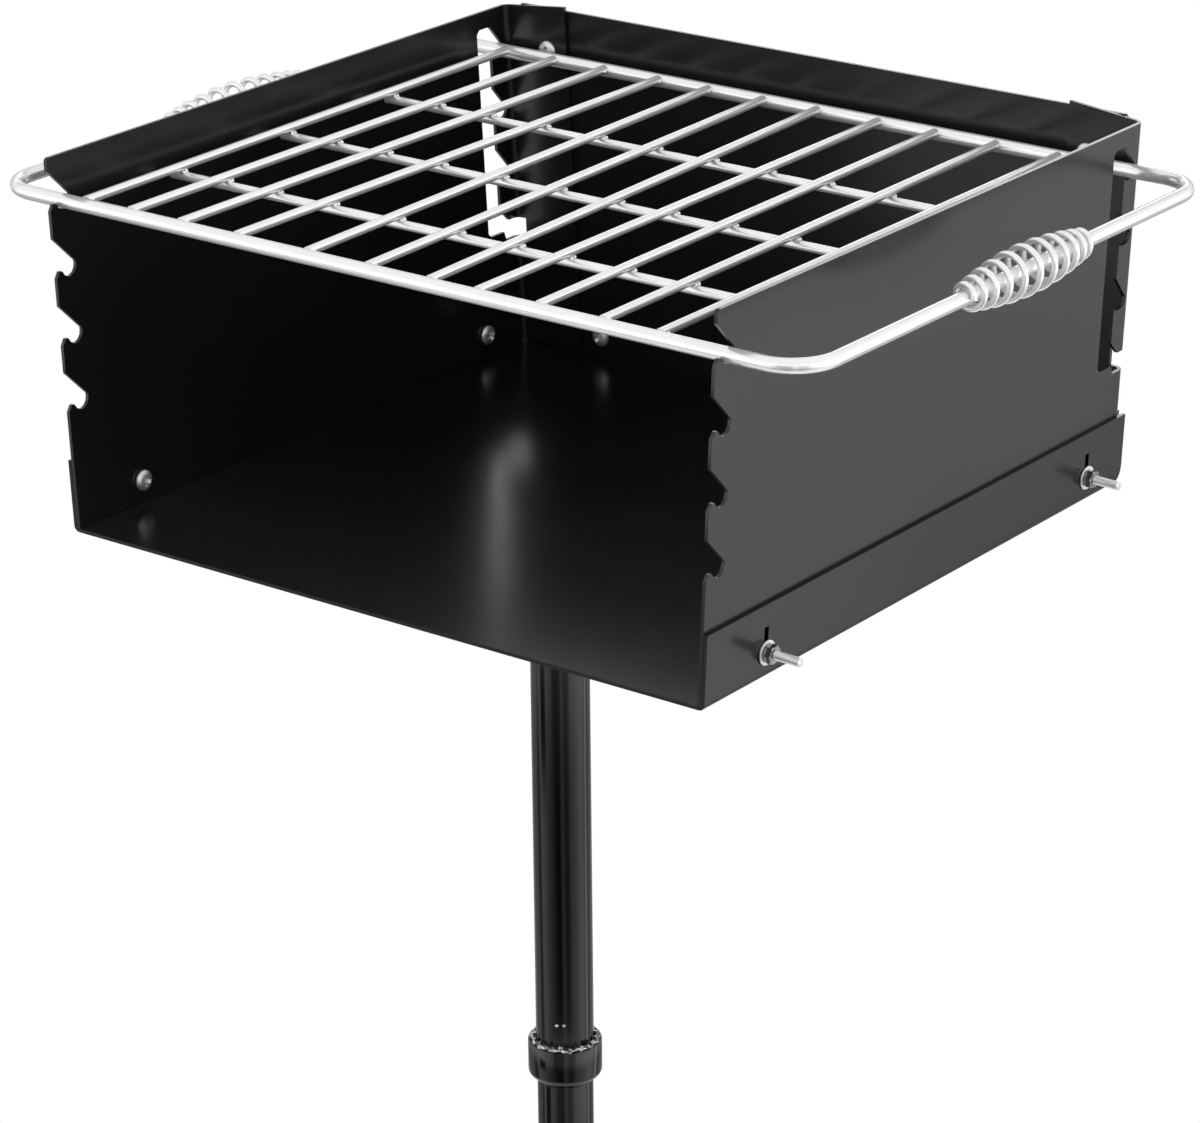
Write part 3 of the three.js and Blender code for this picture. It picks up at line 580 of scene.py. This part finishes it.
class GRILL_OT_build_grate(bpy.types.Operator):
    """Build the cooking grate: frame rod, bars, cross rods and their welds"""
    bl_idname = "grill.build_grate"
    bl_label = "Cooking Grate"

    def frame_loop(self, rod):
        """The frame rod's middle line: four sides and their bends."""
        bend, steps = 0.024, 16
        low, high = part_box("grate_frame")
        height = (high.z + low.z) / 2
        corners = [(high.x - rod, low.y + rod, 1, -1), (high.x - rod, high.y - rod, 1, 1),
                   (low.x + rod, high.y - rod, -1, 1), (low.x + rod, low.y + rod, -1, -1)]
        loop = []
        for i, (x, y, sx, sy) in enumerate(corners):
            for k in range(steps + 1):
                turn = math.radians(-90 + 90 * i + 90 * k / steps)
                loop.append((x - sx * bend + bend * math.cos(turn), y - sy * bend + bend * math.sin(turn), height))
        return loop

    def weld_spots(self, cross_lines, bar_lines, bar_radius):
        """Four spots at each crossing, then two at each end of each bar."""
        beside, along = bar_radius * 0.85, bar_radius * 0.45
        end_beside, end_inward, end_drop = bar_radius * 0.8, 0.0025, 0.0004
        spots = []
        for left, _ in cross_lines:
            for front, rear in bar_lines:
                share = (left.y - front.y) / (rear.y - front.y)
                bar_x = front.x + (rear.x - front.x) * share
                level = left.z + bar_radius
                for sx, sy in ((1, -1), (-1, 1), (1, 1), (-1, -1)):
                    spots.append((bar_x + sx * beside, left.y + sy * along, level))
        for front, rear in bar_lines:
            for tip, inward in ((front, 1), (rear, -1)):
                for sx in (-1, 1):
                    spots.append((tip.x + sx * end_beside, tip.y + inward * end_inward, tip.z - end_drop))
        return spots

    def execute(self, context):
        sizes = context.scene.grill_sizes
        wire = finish_for("bright_wire")
        rod = half_size("grate_frame", 2)
        outline = swept_rods("grate_frame_rod", [self.frame_loop(rod)], rod, sizes.rod_sides, wire, loop=True)
        finish_piece(outline, GRATE, wire, ["grate_frame"])

        reach = 0.001
        bar_lines = []
        for node in BARS:
            front, rear = rod_ends(node, 1)
            along = (rear - front).normalized()
            bar_lines.append([front - along * reach, rear + along * reach])
        bar_radius = half_size(BARS[0], 2)
        bars = swept_rods("grate_bars", bar_lines, bar_radius, sizes.rod_sides, wire)
        finish_piece(bars, GRATE, wire, BARS)

        cross_lines = [rod_ends(node, 0) for node in CROSS_RODS]
        crosses = swept_rods("grate_cross_rods", cross_lines, bar_radius, sizes.rod_sides, wire)
        finish_piece(crosses, GRATE, wire, CROSS_RODS)

        spots = self.weld_spots(cross_lines, bar_lines, bar_radius)
        welds = link("grate_welds", mesh_from("grate_welds", spots, []))
        run_tree(welds, made_once("weld_nubs", nub_tree), {"Size": sizes.nub_size, "Seed": 7, "Finish": wire})
        smooth(welds.data, 60)
        finish_piece(welds, GRATE, wire)
        return {"FINISHED"}


class GRILL_OT_build_handles(bpy.types.Operator):
    """Wind the two barrel coils around the grate's rails"""
    bl_idname = "grill.build_handles"
    bl_label = "Coil Handles"

    def execute(self, context):
        sizes = context.scene.grill_sizes
        wire = finish_for("bright_wire")
        rail = half_size("grate_frame", 2)
        steps_per_turn, wire_sides = 36, 16
        for side in SIDES:
            node = f"{side}_handle_coil"
            low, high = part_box(node)
            centre = (low + high) / 2
            radius = sizes.coil_wire / 2
            slim = rail + PLAY + radius
            middle = (high.z - low.z) / 2 - radius
            length = high.y - low.y - 2 * radius
            steps = round(sizes.coil_turns * steps_per_turn)
            path = []
            for i in range(steps + 1):
                share = i / steps
                along = share - sizes.coil_stretch * math.sin(2 * math.pi * share) / (2 * math.pi)
                reach = slim + (middle - slim) * math.sin(math.pi * along) ** sizes.coil_fullness
                turn = 2 * math.pi * sizes.coil_turns * share
                path.append((centre.x + reach * math.cos(turn),
                             centre.y + length * (along - 0.5),
                             centre.z + reach * math.sin(turn)))
            coil = swept_rods(f"{side}_coil_handle", [path], radius, wire_sides, wire)
            finish_piece(coil, f"{side}_handle", wire, [node])
        return {"FINISHED"}


# Bolts, washers and nuts: their sizes in metres, along the axis from the inner face of the sheets and across it
GRIP = 0.0043
SHANK_END = GRIP + 0.021
SHANK_RADIUS = 0.0025
THREAD_DEPTH = 0.00035
TIP_CHAMFER = 0.0006
HEAD_RADIUS = 0.0058
HEAD_HEIGHT = 0.0034
RECESS_SPAN, RECESS_WIDTH = 0.0074, 0.0024
RECESS_LOW, RECESS_HIGH = -0.0042, -0.0010
WASHER_BORE, WASHER_RADIUS = 0.0029, 0.0065
WASHER_LOW = GRIP + PLAY
WASHER_HIGH = WASHER_LOW + 0.0012
NUT_BORE, NUT_RADIUS = 0.0026, 0.0044
NUT_CHAMFER = 0.0008
NUT_LOW = WASHER_HIGH + PLAY
NUT_HIGH = NUT_LOW + 0.0042
# How far each copy is turned about its own axis, in radians
TWISTS = {"bolt": (0.3, 1.1, 0.7, 1.9, 0.5, 1.4, 0.2, 0.9),
          "washer": (0.0,) * 8,
          "nut": (0.2, 0.75, 0.4, 0.1, 0.55, 0.3, 0.9, 0.6)}


def threaded_shank(name, pitch):
    """A bolt's shank along plus Z, with a helical thread beyond its grip."""
    columns, rows_per_thread = 24, 4
    rows = round(SHANK_END / (pitch / rows_per_thread))
    points, faces = [], []
    for row in range(rows + 1):
        z = -PLAY + (SHANK_END + PLAY) * row / rows
        for i in range(columns):
            turn = i / columns
            wave = abs(((z / pitch - turn) % 1) * 2 - 1)
            radius = SHANK_RADIUS - (THREAD_DEPTH * wave if z > GRIP else 0)
            left = SHANK_END - z
            if left < TIP_CHAMFER:
                radius -= TIP_CHAMFER - left
            points.append((radius * math.cos(2 * math.pi * turn), radius * math.sin(2 * math.pi * turn), z))
    for row in range(rows):
        faces += band_faces(row, row + 1, columns)
    faces.append(tuple(range(columns))[::-1])
    faces.append(tuple(rows * columns + i for i in range(columns)))
    return mesh_from(name, points, faces)


def button_head(name):
    """A bolt's domed head, below zero on the shank's axis."""
    rim, soft, steps = 0.0007, 0.0002, 10
    top = -PLAY
    profile = [(0, top - HEAD_HEIGHT)]
    for k in range(1, steps + 1):
        turn = math.pi / 2 * k / steps
        profile.append((HEAD_RADIUS * math.sin(turn), top - rim - (HEAD_HEIGHT - rim) * math.cos(turn)))
    profile += [(HEAD_RADIUS, top - soft), (HEAD_RADIUS - soft, top), (0, top)]
    return turned_mesh(name, profile, 48, closed=False)


def cross_cutter(name):
    """A tapered cross that cuts the recess of a bolt's head."""
    inner_span, inner_width = RECESS_SPAN * 0.4, RECESS_WIDTH * 0.6
    mesh = bpy.data.meshes.new(name)
    with editing(mesh) as work:
        for turn in (0, math.pi / 2):
            made = bmesh.ops.create_cube(work, size=1)
            for v in made["verts"]:
                outside = v.co.z < 0
                v.co.z = RECESS_LOW if outside else RECESS_HIGH
                v.co.x *= RECESS_SPAN if outside else inner_span
                v.co.y *= RECESS_WIDTH if outside else inner_width
            bmesh.ops.rotate(work, verts=made["verts"], matrix=Matrix.Rotation(turn, 3, "Z"))
    return mesh


def nut_mesh(name):
    """A hexagon nut whose corners are turned off at both faces."""
    columns, steps = 72, 4
    face_edge, face_share, slope = 0.0001, 0.97, 1.4
    rows = [(NUT_LOW, NUT_RADIUS * face_share), (NUT_LOW + face_edge, NUT_RADIUS)]
    rows += [(NUT_LOW + NUT_CHAMFER * k / steps, NUT_RADIUS + NUT_CHAMFER * k / steps * slope)
             for k in range(1, steps + 1)]
    rows += [(NUT_HIGH - (z - NUT_LOW), r) for z, r in reversed(rows)]
    points, faces = [], []
    for z, limit in rows + [(NUT_HIGH, NUT_BORE), (NUT_LOW, NUT_BORE)]:
        for i in range(columns):
            turn = 2 * math.pi * i / columns
            flat = NUT_RADIUS / math.cos((turn % (math.pi / 3)) - math.pi / 6)
            radius = min(flat, limit)
            points.append((radius * math.cos(turn), radius * math.sin(turn), z))
    count = len(rows) + 2
    for row in range(count):
        faces += band_faces(row, (row + 1) % count, columns)
    mesh = mesh_from(name, points, faces)
    face_outward(mesh)
    return mesh


def fastener_tree(name):
    """Puts a copy of a fastener at every point, turned to the point's own frame."""
    tree, given, out = new_geometry(name, [
        ("Places", "NodeSocketGeometry", None), ("Fastener", "NodeSocketObject", None)])
    model = put(tree, "GeometryNodeObjectInfo", {"Object": given.outputs["Fastener"]})
    axis = put(tree, "GeometryNodeInputNamedAttribute", {"Name": "axis"}, data_type="FLOAT_VECTOR")
    face = put(tree, "FunctionNodeAlignRotationToVector", {"Vector": axis.outputs["Attribute"]}, axis="Z")
    twist = put(tree, "GeometryNodeInputNamedAttribute", {"Name": "twist"}, data_type="FLOAT")
    spin = put(tree, "FunctionNodeAxisAngleToRotation", {
        "Axis": (0, 0, 1), "Angle": twist.outputs["Attribute"]})
    both = put(tree, "FunctionNodeRotateRotation", {
        "Rotation": face.outputs[0], "Rotate By": spin.outputs[0]}, rotation_space="LOCAL")
    spots = put(tree, "GeometryNodeInstanceOnPoints", {
        "Points": given.outputs["Places"], "Instance": model.outputs["Geometry"],
        "Rotation": both.outputs[0]})
    return end_geometry(tree, spots.outputs["Instances"], given, out)


def fastener_places():
    """The foot of each bolt's shank at the inner face, and the way the shank points."""
    tip_depth = 6e-4
    places = []
    for side in SIDES:
        outward = Vector((-1 if side == "left" else 1, 0, 0))
        for place in BOLT_PLACES:
            points = node_points(f"{side}_{place}_bolt")
            lead = outward if place in ("front_pan", "rear_pan") else Vector((0, 1, 0))
            tip_level = max(p.dot(lead) for p in points)
            end = middle_of([p for p in points if p.dot(lead) > tip_level - tip_depth])
            axis = (end - middle_of(node_points(f"{side}_{place}_nut"))).normalized()
            places.append((end - axis * SHANK_END, axis))
    return places


class GRILL_OT_build_fasteners(bpy.types.Operator):
    """Build the eight bolts with their washers and nuts"""
    bl_idname = "grill.build_fasteners"
    bl_label = "Bolts, Washers and Nuts"

    def execute(self, context):
        sizes = context.scene.grill_sizes
        zinc = finish_for("zinc_plate")
        places = fastener_places()
        shank = threaded_shank("bolt_shaft", sizes.thread_pitch)
        head = link("bolt_head_model", button_head("bolt_head"))
        cutter = link("bolt_cross_model", cross_cutter("bolt_cross"))
        cut = head.modifiers.new("recess", "BOOLEAN")
        cut.operation = "DIFFERENCE"
        cut.object = cutter
        cut.solver = "EXACT"
        cut.use_self = True
        bake(head)
        bolt = bpy.data.meshes.new("bolt")
        with editing(bolt) as work:
            work.from_mesh(head.data)
            work.from_mesh(shank)
        washer = turned_mesh("washer", rounded([
            (WASHER_BORE, WASHER_LOW), (WASHER_RADIUS, WASHER_LOW), (WASHER_RADIUS, WASHER_HIGH),
            (WASHER_BORE, WASHER_HIGH)], 0.0003), 56)
        for kind, mesh, sharp_deg in (("bolt", bolt, 35), ("washer", washer, 50), ("nut", nut_mesh("nut"), 25)):
            smooth(mesh, sharp_deg)
            model = link(f"{kind}_model", mesh)
            points = mesh_from(f"{kind}_set", [foot for foot, _ in places], [])
            layer = points.attributes.new("axis", "FLOAT_VECTOR", "POINT")
            layer.data.foreach_set("vector", [c for _, axis in places for c in axis])
            turn = points.attributes.new("twist", "FLOAT", "POINT")
            turn.data.foreach_set("value", TWISTS[kind])
            piece = link(f"{kind}_set", points)
            metal = finish_for("nut_steel") if kind == "nut" else zinc
            run_tree(piece, made_once("set_fasteners", fastener_tree), {"Fastener": model, "Finish": metal})
            nodes = [f"{side}_{place}_{kind}" for side in SIDES for place in BOLT_PLACES]
            finish_piece(piece, HEAD, metal, nodes)
            bpy.data.objects.remove(model)
        for spare in (head, cutter):
            bpy.data.objects.remove(spare)
        return {"FINISHED"}


# Post: the collar's neck and lip, as metres beyond a radius and above a height, and its drops of spatter, as
# a radius, a bearing in degrees, metres above the collar and metres beyond the tube
SHOULDER = 0.004
LIP_DEPTH = 0.003
COLLAR_NECK = ((PLAY, 0.0), (0.0012, 0.0), (0.0014, 0.0002), (0.0014, 0.0016))
COLLAR_LIP = ((0.0, -0.0008), (-0.0002, -0.0003), (-0.0006, 0.0), (-0.0011, 0.0), (-0.0014, -0.0003),
              (-0.0015, -LIP_DEPTH))
SPATTER = ((0.0011, -68, 0.0148, 0.0), (0.001, -54, 0.015, 0.0), (0.0015, -60, 0.0016, 0.001),
           (0.0016, -85, 0.0008, 0.0022), (0.0014, -28, 0.0008, 0.0024), (0.0013, -45, -0.0002, 0.0032),
           (0.0014, -10, 0.001, 0.0022), (0.0013, -110, 0.001, 0.0022))


def bead_tree(name):
    """A rippled weld bead around Z: a round section swept along a circle, then pushed out in waves."""
    tree, given, out = new_geometry(name, [
        ("Start", "NodeSocketGeometry", None), ("Ring Radius", "NodeSocketFloat", 0.018),
        ("Bead Radius", "NodeSocketFloat", 0.002), ("Height", "NodeSocketFloat", 0.0),
        ("Ripples", "NodeSocketFloat", 34.0), ("Seed", "NodeSocketFloat", 3.0)])
    ring = put(tree, "GeometryNodeCurvePrimitiveCircle", {
        "Resolution": 360, "Radius": given.outputs["Ring Radius"]})
    section = put(tree, "GeometryNodeCurvePrimitiveCircle", {
        "Resolution": 14, "Radius": given.outputs["Bead Radius"]})
    swept = put(tree, "GeometryNodeCurveToMesh", {
        "Curve": ring.outputs["Curve"], "Profile Curve": section.outputs["Curve"]})
    grain, stray, ripple_depth, sink = 140.0, 5.0, 0.2, 0.45
    where = put(tree, "GeometryNodeInputPosition")
    split = put(tree, "ShaderNodeSeparateXYZ", {0: where.outputs[0]})
    angle = calculate(tree, "ARCTAN2", split.outputs["Y"], split.outputs["X"])
    noise = put(tree, "ShaderNodeTexNoise", {
        "Vector": where.outputs[0], "W": given.outputs["Seed"], "Scale": grain, "Detail": 1.0},
        noise_dimensions="4D")
    jitter = calculate(tree, "MULTIPLY", noise.outputs["Fac"], stray)
    phase = calculate(tree, "MULTIPLY_ADD", angle, given.outputs["Ripples"], jitter)
    wave = calculate(tree, "SINE", phase)
    swell = calculate(tree, "MULTIPLY_ADD", wave, ripple_depth, noise.outputs["Fac"])
    less = calculate(tree, "SUBTRACT", swell, sink)
    depth = calculate(tree, "MULTIPLY", less, given.outputs["Bead Radius"])
    rippled = push_out(tree, swept.outputs["Mesh"], depth)
    up = put(tree, "ShaderNodeCombineXYZ", {"Z": given.outputs["Height"]})
    raised = put(tree, "GeometryNodeTransform", {"Geometry": rippled, "Translation": up.outputs[0]})
    return end_geometry(tree, raised.outputs["Geometry"], given, out)


class GRILL_OT_build_post(bpy.types.Operator):
    """Build the post: two tubes, the collar between them, their welds and the hidden plate and spigot"""
    bl_idname = "grill.build_post"
    bl_label = "Post and Collar"

    def tube(self, node, name, body, wall, coat):
        low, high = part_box(node)
        outer = half_size(node, 0)
        profile = rounded([(outer - wall, low.z), (outer, low.z), (outer, high.z), (outer - wall, high.z)], 0.0004)
        mesh = turned_mesh(name, profile, 96)
        smooth(mesh, 30)
        finish_piece(link(name, mesh), body, coat, [node])

    def bead(self, name, node, ring, size, height, ripples, drops=()):
        """One weld bead, with the drops of spatter that lie beside it."""
        piece = link(name, bpy.data.meshes.new(name))
        # The bead and its drops of spatter take patches of bright metal as painted glints
        metal = finish_for("painted_weld")
        run_tree(piece, made_once("weld_bead", bead_tree), {
            "Ring Radius": ring, "Bead Radius": size, "Height": height, "Ripples": ripples, "Finish": metal})
        with editing(piece.data) as work:
            for radius, bearing, level, reach in drops:
                turn = math.radians(bearing)
                place = Matrix.Translation((reach * math.cos(turn), reach * math.sin(turn), level))
                bmesh.ops.create_icosphere(work, subdivisions=3, radius=radius, matrix=place)
        face_outward(piece.data)
        smooth(piece.data, 60)
        finish_piece(piece, HEAD, metal, [node])

    def execute(self, context):
        coat = finish_for("glossy_tube_coat")
        self.tube("upper_post", "upper_tube", HEAD, wall=0.0024, coat=coat)
        self.tube("lower_post", "ground_tube", GROUND, wall=0.0019, coat=coat)
        low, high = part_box("swivel_collar")
        outer, upper, lower = (half_size(node, 0) for node in ("swivel_collar", "upper_post", "lower_post"))
        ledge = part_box("upper_post")[0].z - PLAY
        profile = [(lower + beyond, low.z + above) for beyond, above in COLLAR_NECK]
        foot = profile[-1][1]
        steps = 10
        for k in range(steps + 1):
            turn = math.radians(-90 + 90 * k / steps)
            profile.append((outer - SHOULDER + SHOULDER * math.cos(turn),
                            foot + SHOULDER + SHOULDER * math.sin(turn)))
        profile += [(outer + beyond, high.z + above) for beyond, above in COLLAR_LIP]
        profile += [(upper + PLAY, high.z - LIP_DEPTH), (upper + PLAY, ledge), (lower + PLAY, ledge)]
        collar = turned_mesh("joint_collar", profile, 128)
        smooth(collar, 30)
        finish_piece(link("joint_collar", collar), HEAD, coat, ["swivel_collar"])
        drops = [(radius, bearing, high.z + above, upper + beyond) for radius, bearing, above, beyond in SPATTER]
        self.bead("collar_bead", "collar_weld", ring=upper + 0.001, size=0.0024, height=high.z - 0.0005,
                  ripples=15.0, drops=drops)
        self.bead("plate_bead", "plate_weld", ring=upper + 0.0012, size=0.0022,
                  height=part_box("post_plate")[0].z - 0.0012, ripples=34.0)
        for node in ("post_plate", "post_spigot"):
            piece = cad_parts[node]
            piece.data.materials.clear()
            piece.data.materials.append(coat if node == "post_plate" else finish_for("zinc_plate"))
        return {"FINISHED"}


# Floor, light and camera
class GRILL_OT_set_stage(bpy.types.Operator):
    """Set the floor, the soft surround of light and the camera"""
    bl_idname = "grill.set_stage"
    bl_label = "Floor, Light and Camera"

    def floor(self, stage):
        """Pale to the camera, and plain white towards its rim."""
        level, rim_start, rim_end, lift = -0.001, 0.45, 0.97, 0.28
        mesh = bpy.data.meshes.new("floor")
        with editing(mesh) as work:
            bmesh.ops.create_circle(work, cap_ends=True, segments=128, radius=stage.floor_radius,
                                    matrix=Matrix.Translation((0, 0, level)))
        floor = link("floor", mesh)
        material = bpy.data.materials.new("pale_floor")
        tree = empty_tree(material)
        where = put(tree, "ShaderNodeTexCoord").outputs["Object"]
        reach = put(tree, "ShaderNodeVectorMath", {0: where}, operation="LENGTH")
        rim = self.climb(tree, reach.outputs["Value"], stage.floor_radius * rim_start, stage.floor_radius * rim_end)
        path = put(tree, "ShaderNodeLightPath")
        seen = calculate(tree, "MAXIMUM", path.outputs["Is Camera Ray"], path.outputs["Is Glossy Ray"])
        matt = put(tree, "ShaderNodeBsdfDiffuse", {"Color": (*stage.floor_color, 1)})
        glow = put(tree, "ShaderNodeEmission", {
            "Color": (1, 1, 1, 1), "Strength": calculate(tree, "MULTIPLY", seen, lift)})
        lit = put(tree, "ShaderNodeAddShader", {0: matt.outputs[0], 1: glow.outputs[0]})
        plain = put(tree, "ShaderNodeEmission", {"Color": (1, 1, 1, 1), "Strength": 1.0})
        edge = calculate(tree, "MULTIPLY", rim, path.outputs["Is Camera Ray"])
        mixed = put(tree, "ShaderNodeMixShader", {0: edge, 1: lit.outputs[0], 2: plain.outputs[0]})
        put(tree, "ShaderNodeOutputMaterial", {"Surface": mixed.outputs[0]})
        floor.data.materials.append(material)

    def climb(self, tree, value, start, end, course="SMOOTHSTEP"):
        """Climbs from 0 to 1 while the value goes from start to end."""
        return put(tree, "ShaderNodeMapRange", {"Value": value, "From Min": start, "From Max": end},
                   interpolation_type=course).outputs["Result"]

    def bands(self, tree, turn, levels):
        """Light that changes with bearing, as the panels and gaps of a studio do."""
        ramp = put(tree, "ShaderNodeValToRGB", {"Fac": turn})
        stops = ramp.color_ramp.elements
        ramp.color_ramp.interpolation = "EASE"
        while len(stops) > 1:
            stops.remove(stops[-1])
        for i, (angle, level) in enumerate(levels):
            place = (angle + 180) / 360
            stop = stops[0] if i == 0 else stops.new(place)
            stop.position = place
            stop.color = (level, level, level, 1)
        return ramp.outputs["Color"]

    def surround(self, context):
        """White to the camera. Light and reflections see a studio that is dark behind the camera."""
        world = bpy.data.worlds.new("studio")
        context.scene.world = world
        tree = empty_tree(world)
        where = put(tree, "ShaderNodeTexCoord").outputs["Generated"]
        split = put(tree, "ShaderNodeSeparateXYZ", {0: where})
        bearing = calculate(tree, "ARCTAN2", split.outputs["Y"], split.outputs["X"])
        offset = calculate(tree, "SUBTRACT", bearing, CAMERA_AZIMUTH - math.pi / 2)
        wrapped = calculate(tree, "WRAP", offset, math.pi, -math.pi)
        turn = self.climb(tree, wrapped, -math.pi, math.pi, "LINEAR")
        height = split.outputs["Z"]
        shade = self.bands(tree, turn, LOW_LEVELS)
        for levels, start, end in RINGS:
            share = self.climb(tree, height, start, end)
            shade = mix_colors(tree, share, shade, self.bands(tree, turn, levels))
        above_foot = self.climb(tree, height, *GAP_FOOT, "LINEAR")
        below_top = self.climb(tree, height, *GAP_TOP, "LINEAR")
        gap = calculate(tree, "MULTIPLY", above_foot, below_top)
        hidden = calculate(tree, "MULTIPLY", gap, self.bands(tree, turn, GAP_SHARES))
        left = calculate(tree, "SUBTRACT", 1.0, hidden)
        studio = put(tree, "ShaderNodeBackground", {"Color": shade, "Strength": left})
        white = put(tree, "ShaderNodeBackground", {"Color": (1, 1, 1, 1), "Strength": 1.0})
        path = put(tree, "ShaderNodeLightPath")
        both = put(tree, "ShaderNodeMixShader", {
            0: path.outputs["Is Camera Ray"], 1: studio.outputs[0], 2: white.outputs[0]})
        put(tree, "ShaderNodeOutputWorld", {"Surface": both.outputs[0]})

    def camera(self, context):
        lens = bpy.data.cameras.new("camera")
        lens.sensor_width = SENSOR_WIDTH_MM
        lens.lens = FOCAL_PIXELS / PICTURE_WIDTH * SENSOR_WIDTH_MM
        lens.clip_end = 50
        back = Vector((math.sin(CAMERA_AZIMUTH) * math.cos(CAMERA_RISE),
                       -math.cos(CAMERA_AZIMUTH) * math.cos(CAMERA_RISE), math.sin(CAMERA_RISE)))
        level = Vector((0, 0, 1)).cross(back).normalized()
        tall = back.cross(level)
        across = level * math.cos(CAMERA_ROLL) + tall * math.sin(CAMERA_ROLL)
        up = tall * math.cos(CAMERA_ROLL) - level * math.sin(CAMERA_ROLL)
        camera = link("camera", lens)
        camera.matrix_world = Matrix.Translation(CAMERA_PLACE) @ Matrix((across, up, back)).transposed().to_4x4()
        context.scene.camera = camera

    def execute(self, context):
        context.scene.view_settings.view_transform = "Standard"
        self.floor(context.scene.grill_stage)
        self.surround(context)
        self.camera(context)
        return {"FINISHED"}


# Sidebar panel and registration
class GRILL_PT_panel(bpy.types.Panel):
    """Sizes, finishes and building steps of the grill"""
    bl_idname = "GRILL_PT_panel"
    bl_label = "Park Grill"
    bl_space_type = "VIEW_3D"
    bl_region_type = "UI"
    bl_category = "Park Grill"

    def draw(self, context):
        for group in (context.scene.grill_sizes, context.scene.grill_finish, context.scene.grill_stage):
            for name in group.bl_rna.properties.keys():
                if name not in ("rna_type", "name"):
                    self.layout.prop(group, name)
        for operator in OPERATORS:
            self.layout.operator(operator.bl_idname)


OPERATORS = (GRILL_OT_set_stage, GRILL_OT_coat_sheets, GRILL_OT_build_grate, GRILL_OT_build_handles,
             GRILL_OT_build_fasteners, GRILL_OT_build_post)
GROUPS = {"grill_finish": GRILL_PG_finish, "grill_sizes": GRILL_PG_sizes, "grill_stage": GRILL_PG_stage}


def register():
    for cls in (*GROUPS.values(), *OPERATORS, GRILL_PT_panel):
        bpy.utils.register_class(cls)
    for name, cls in GROUPS.items():
        setattr(bpy.types.Scene, name, PointerProperty(type=cls))


def unregister():
    for name in GROUPS:
        delattr(bpy.types.Scene, name)
    for cls in reversed((*GROUPS.values(), *OPERATORS, GRILL_PT_panel)):
        bpy.utils.unregister_class(cls)


def main():
    register()
    bpy.ops.grill.set_stage()
    bpy.ops.grill.coat_sheets()
    bpy.ops.grill.build_grate()
    bpy.ops.grill.build_handles()
    bpy.ops.grill.build_fasteners()
    bpy.ops.grill.build_post()


if __name__ == "__main__":
    main()
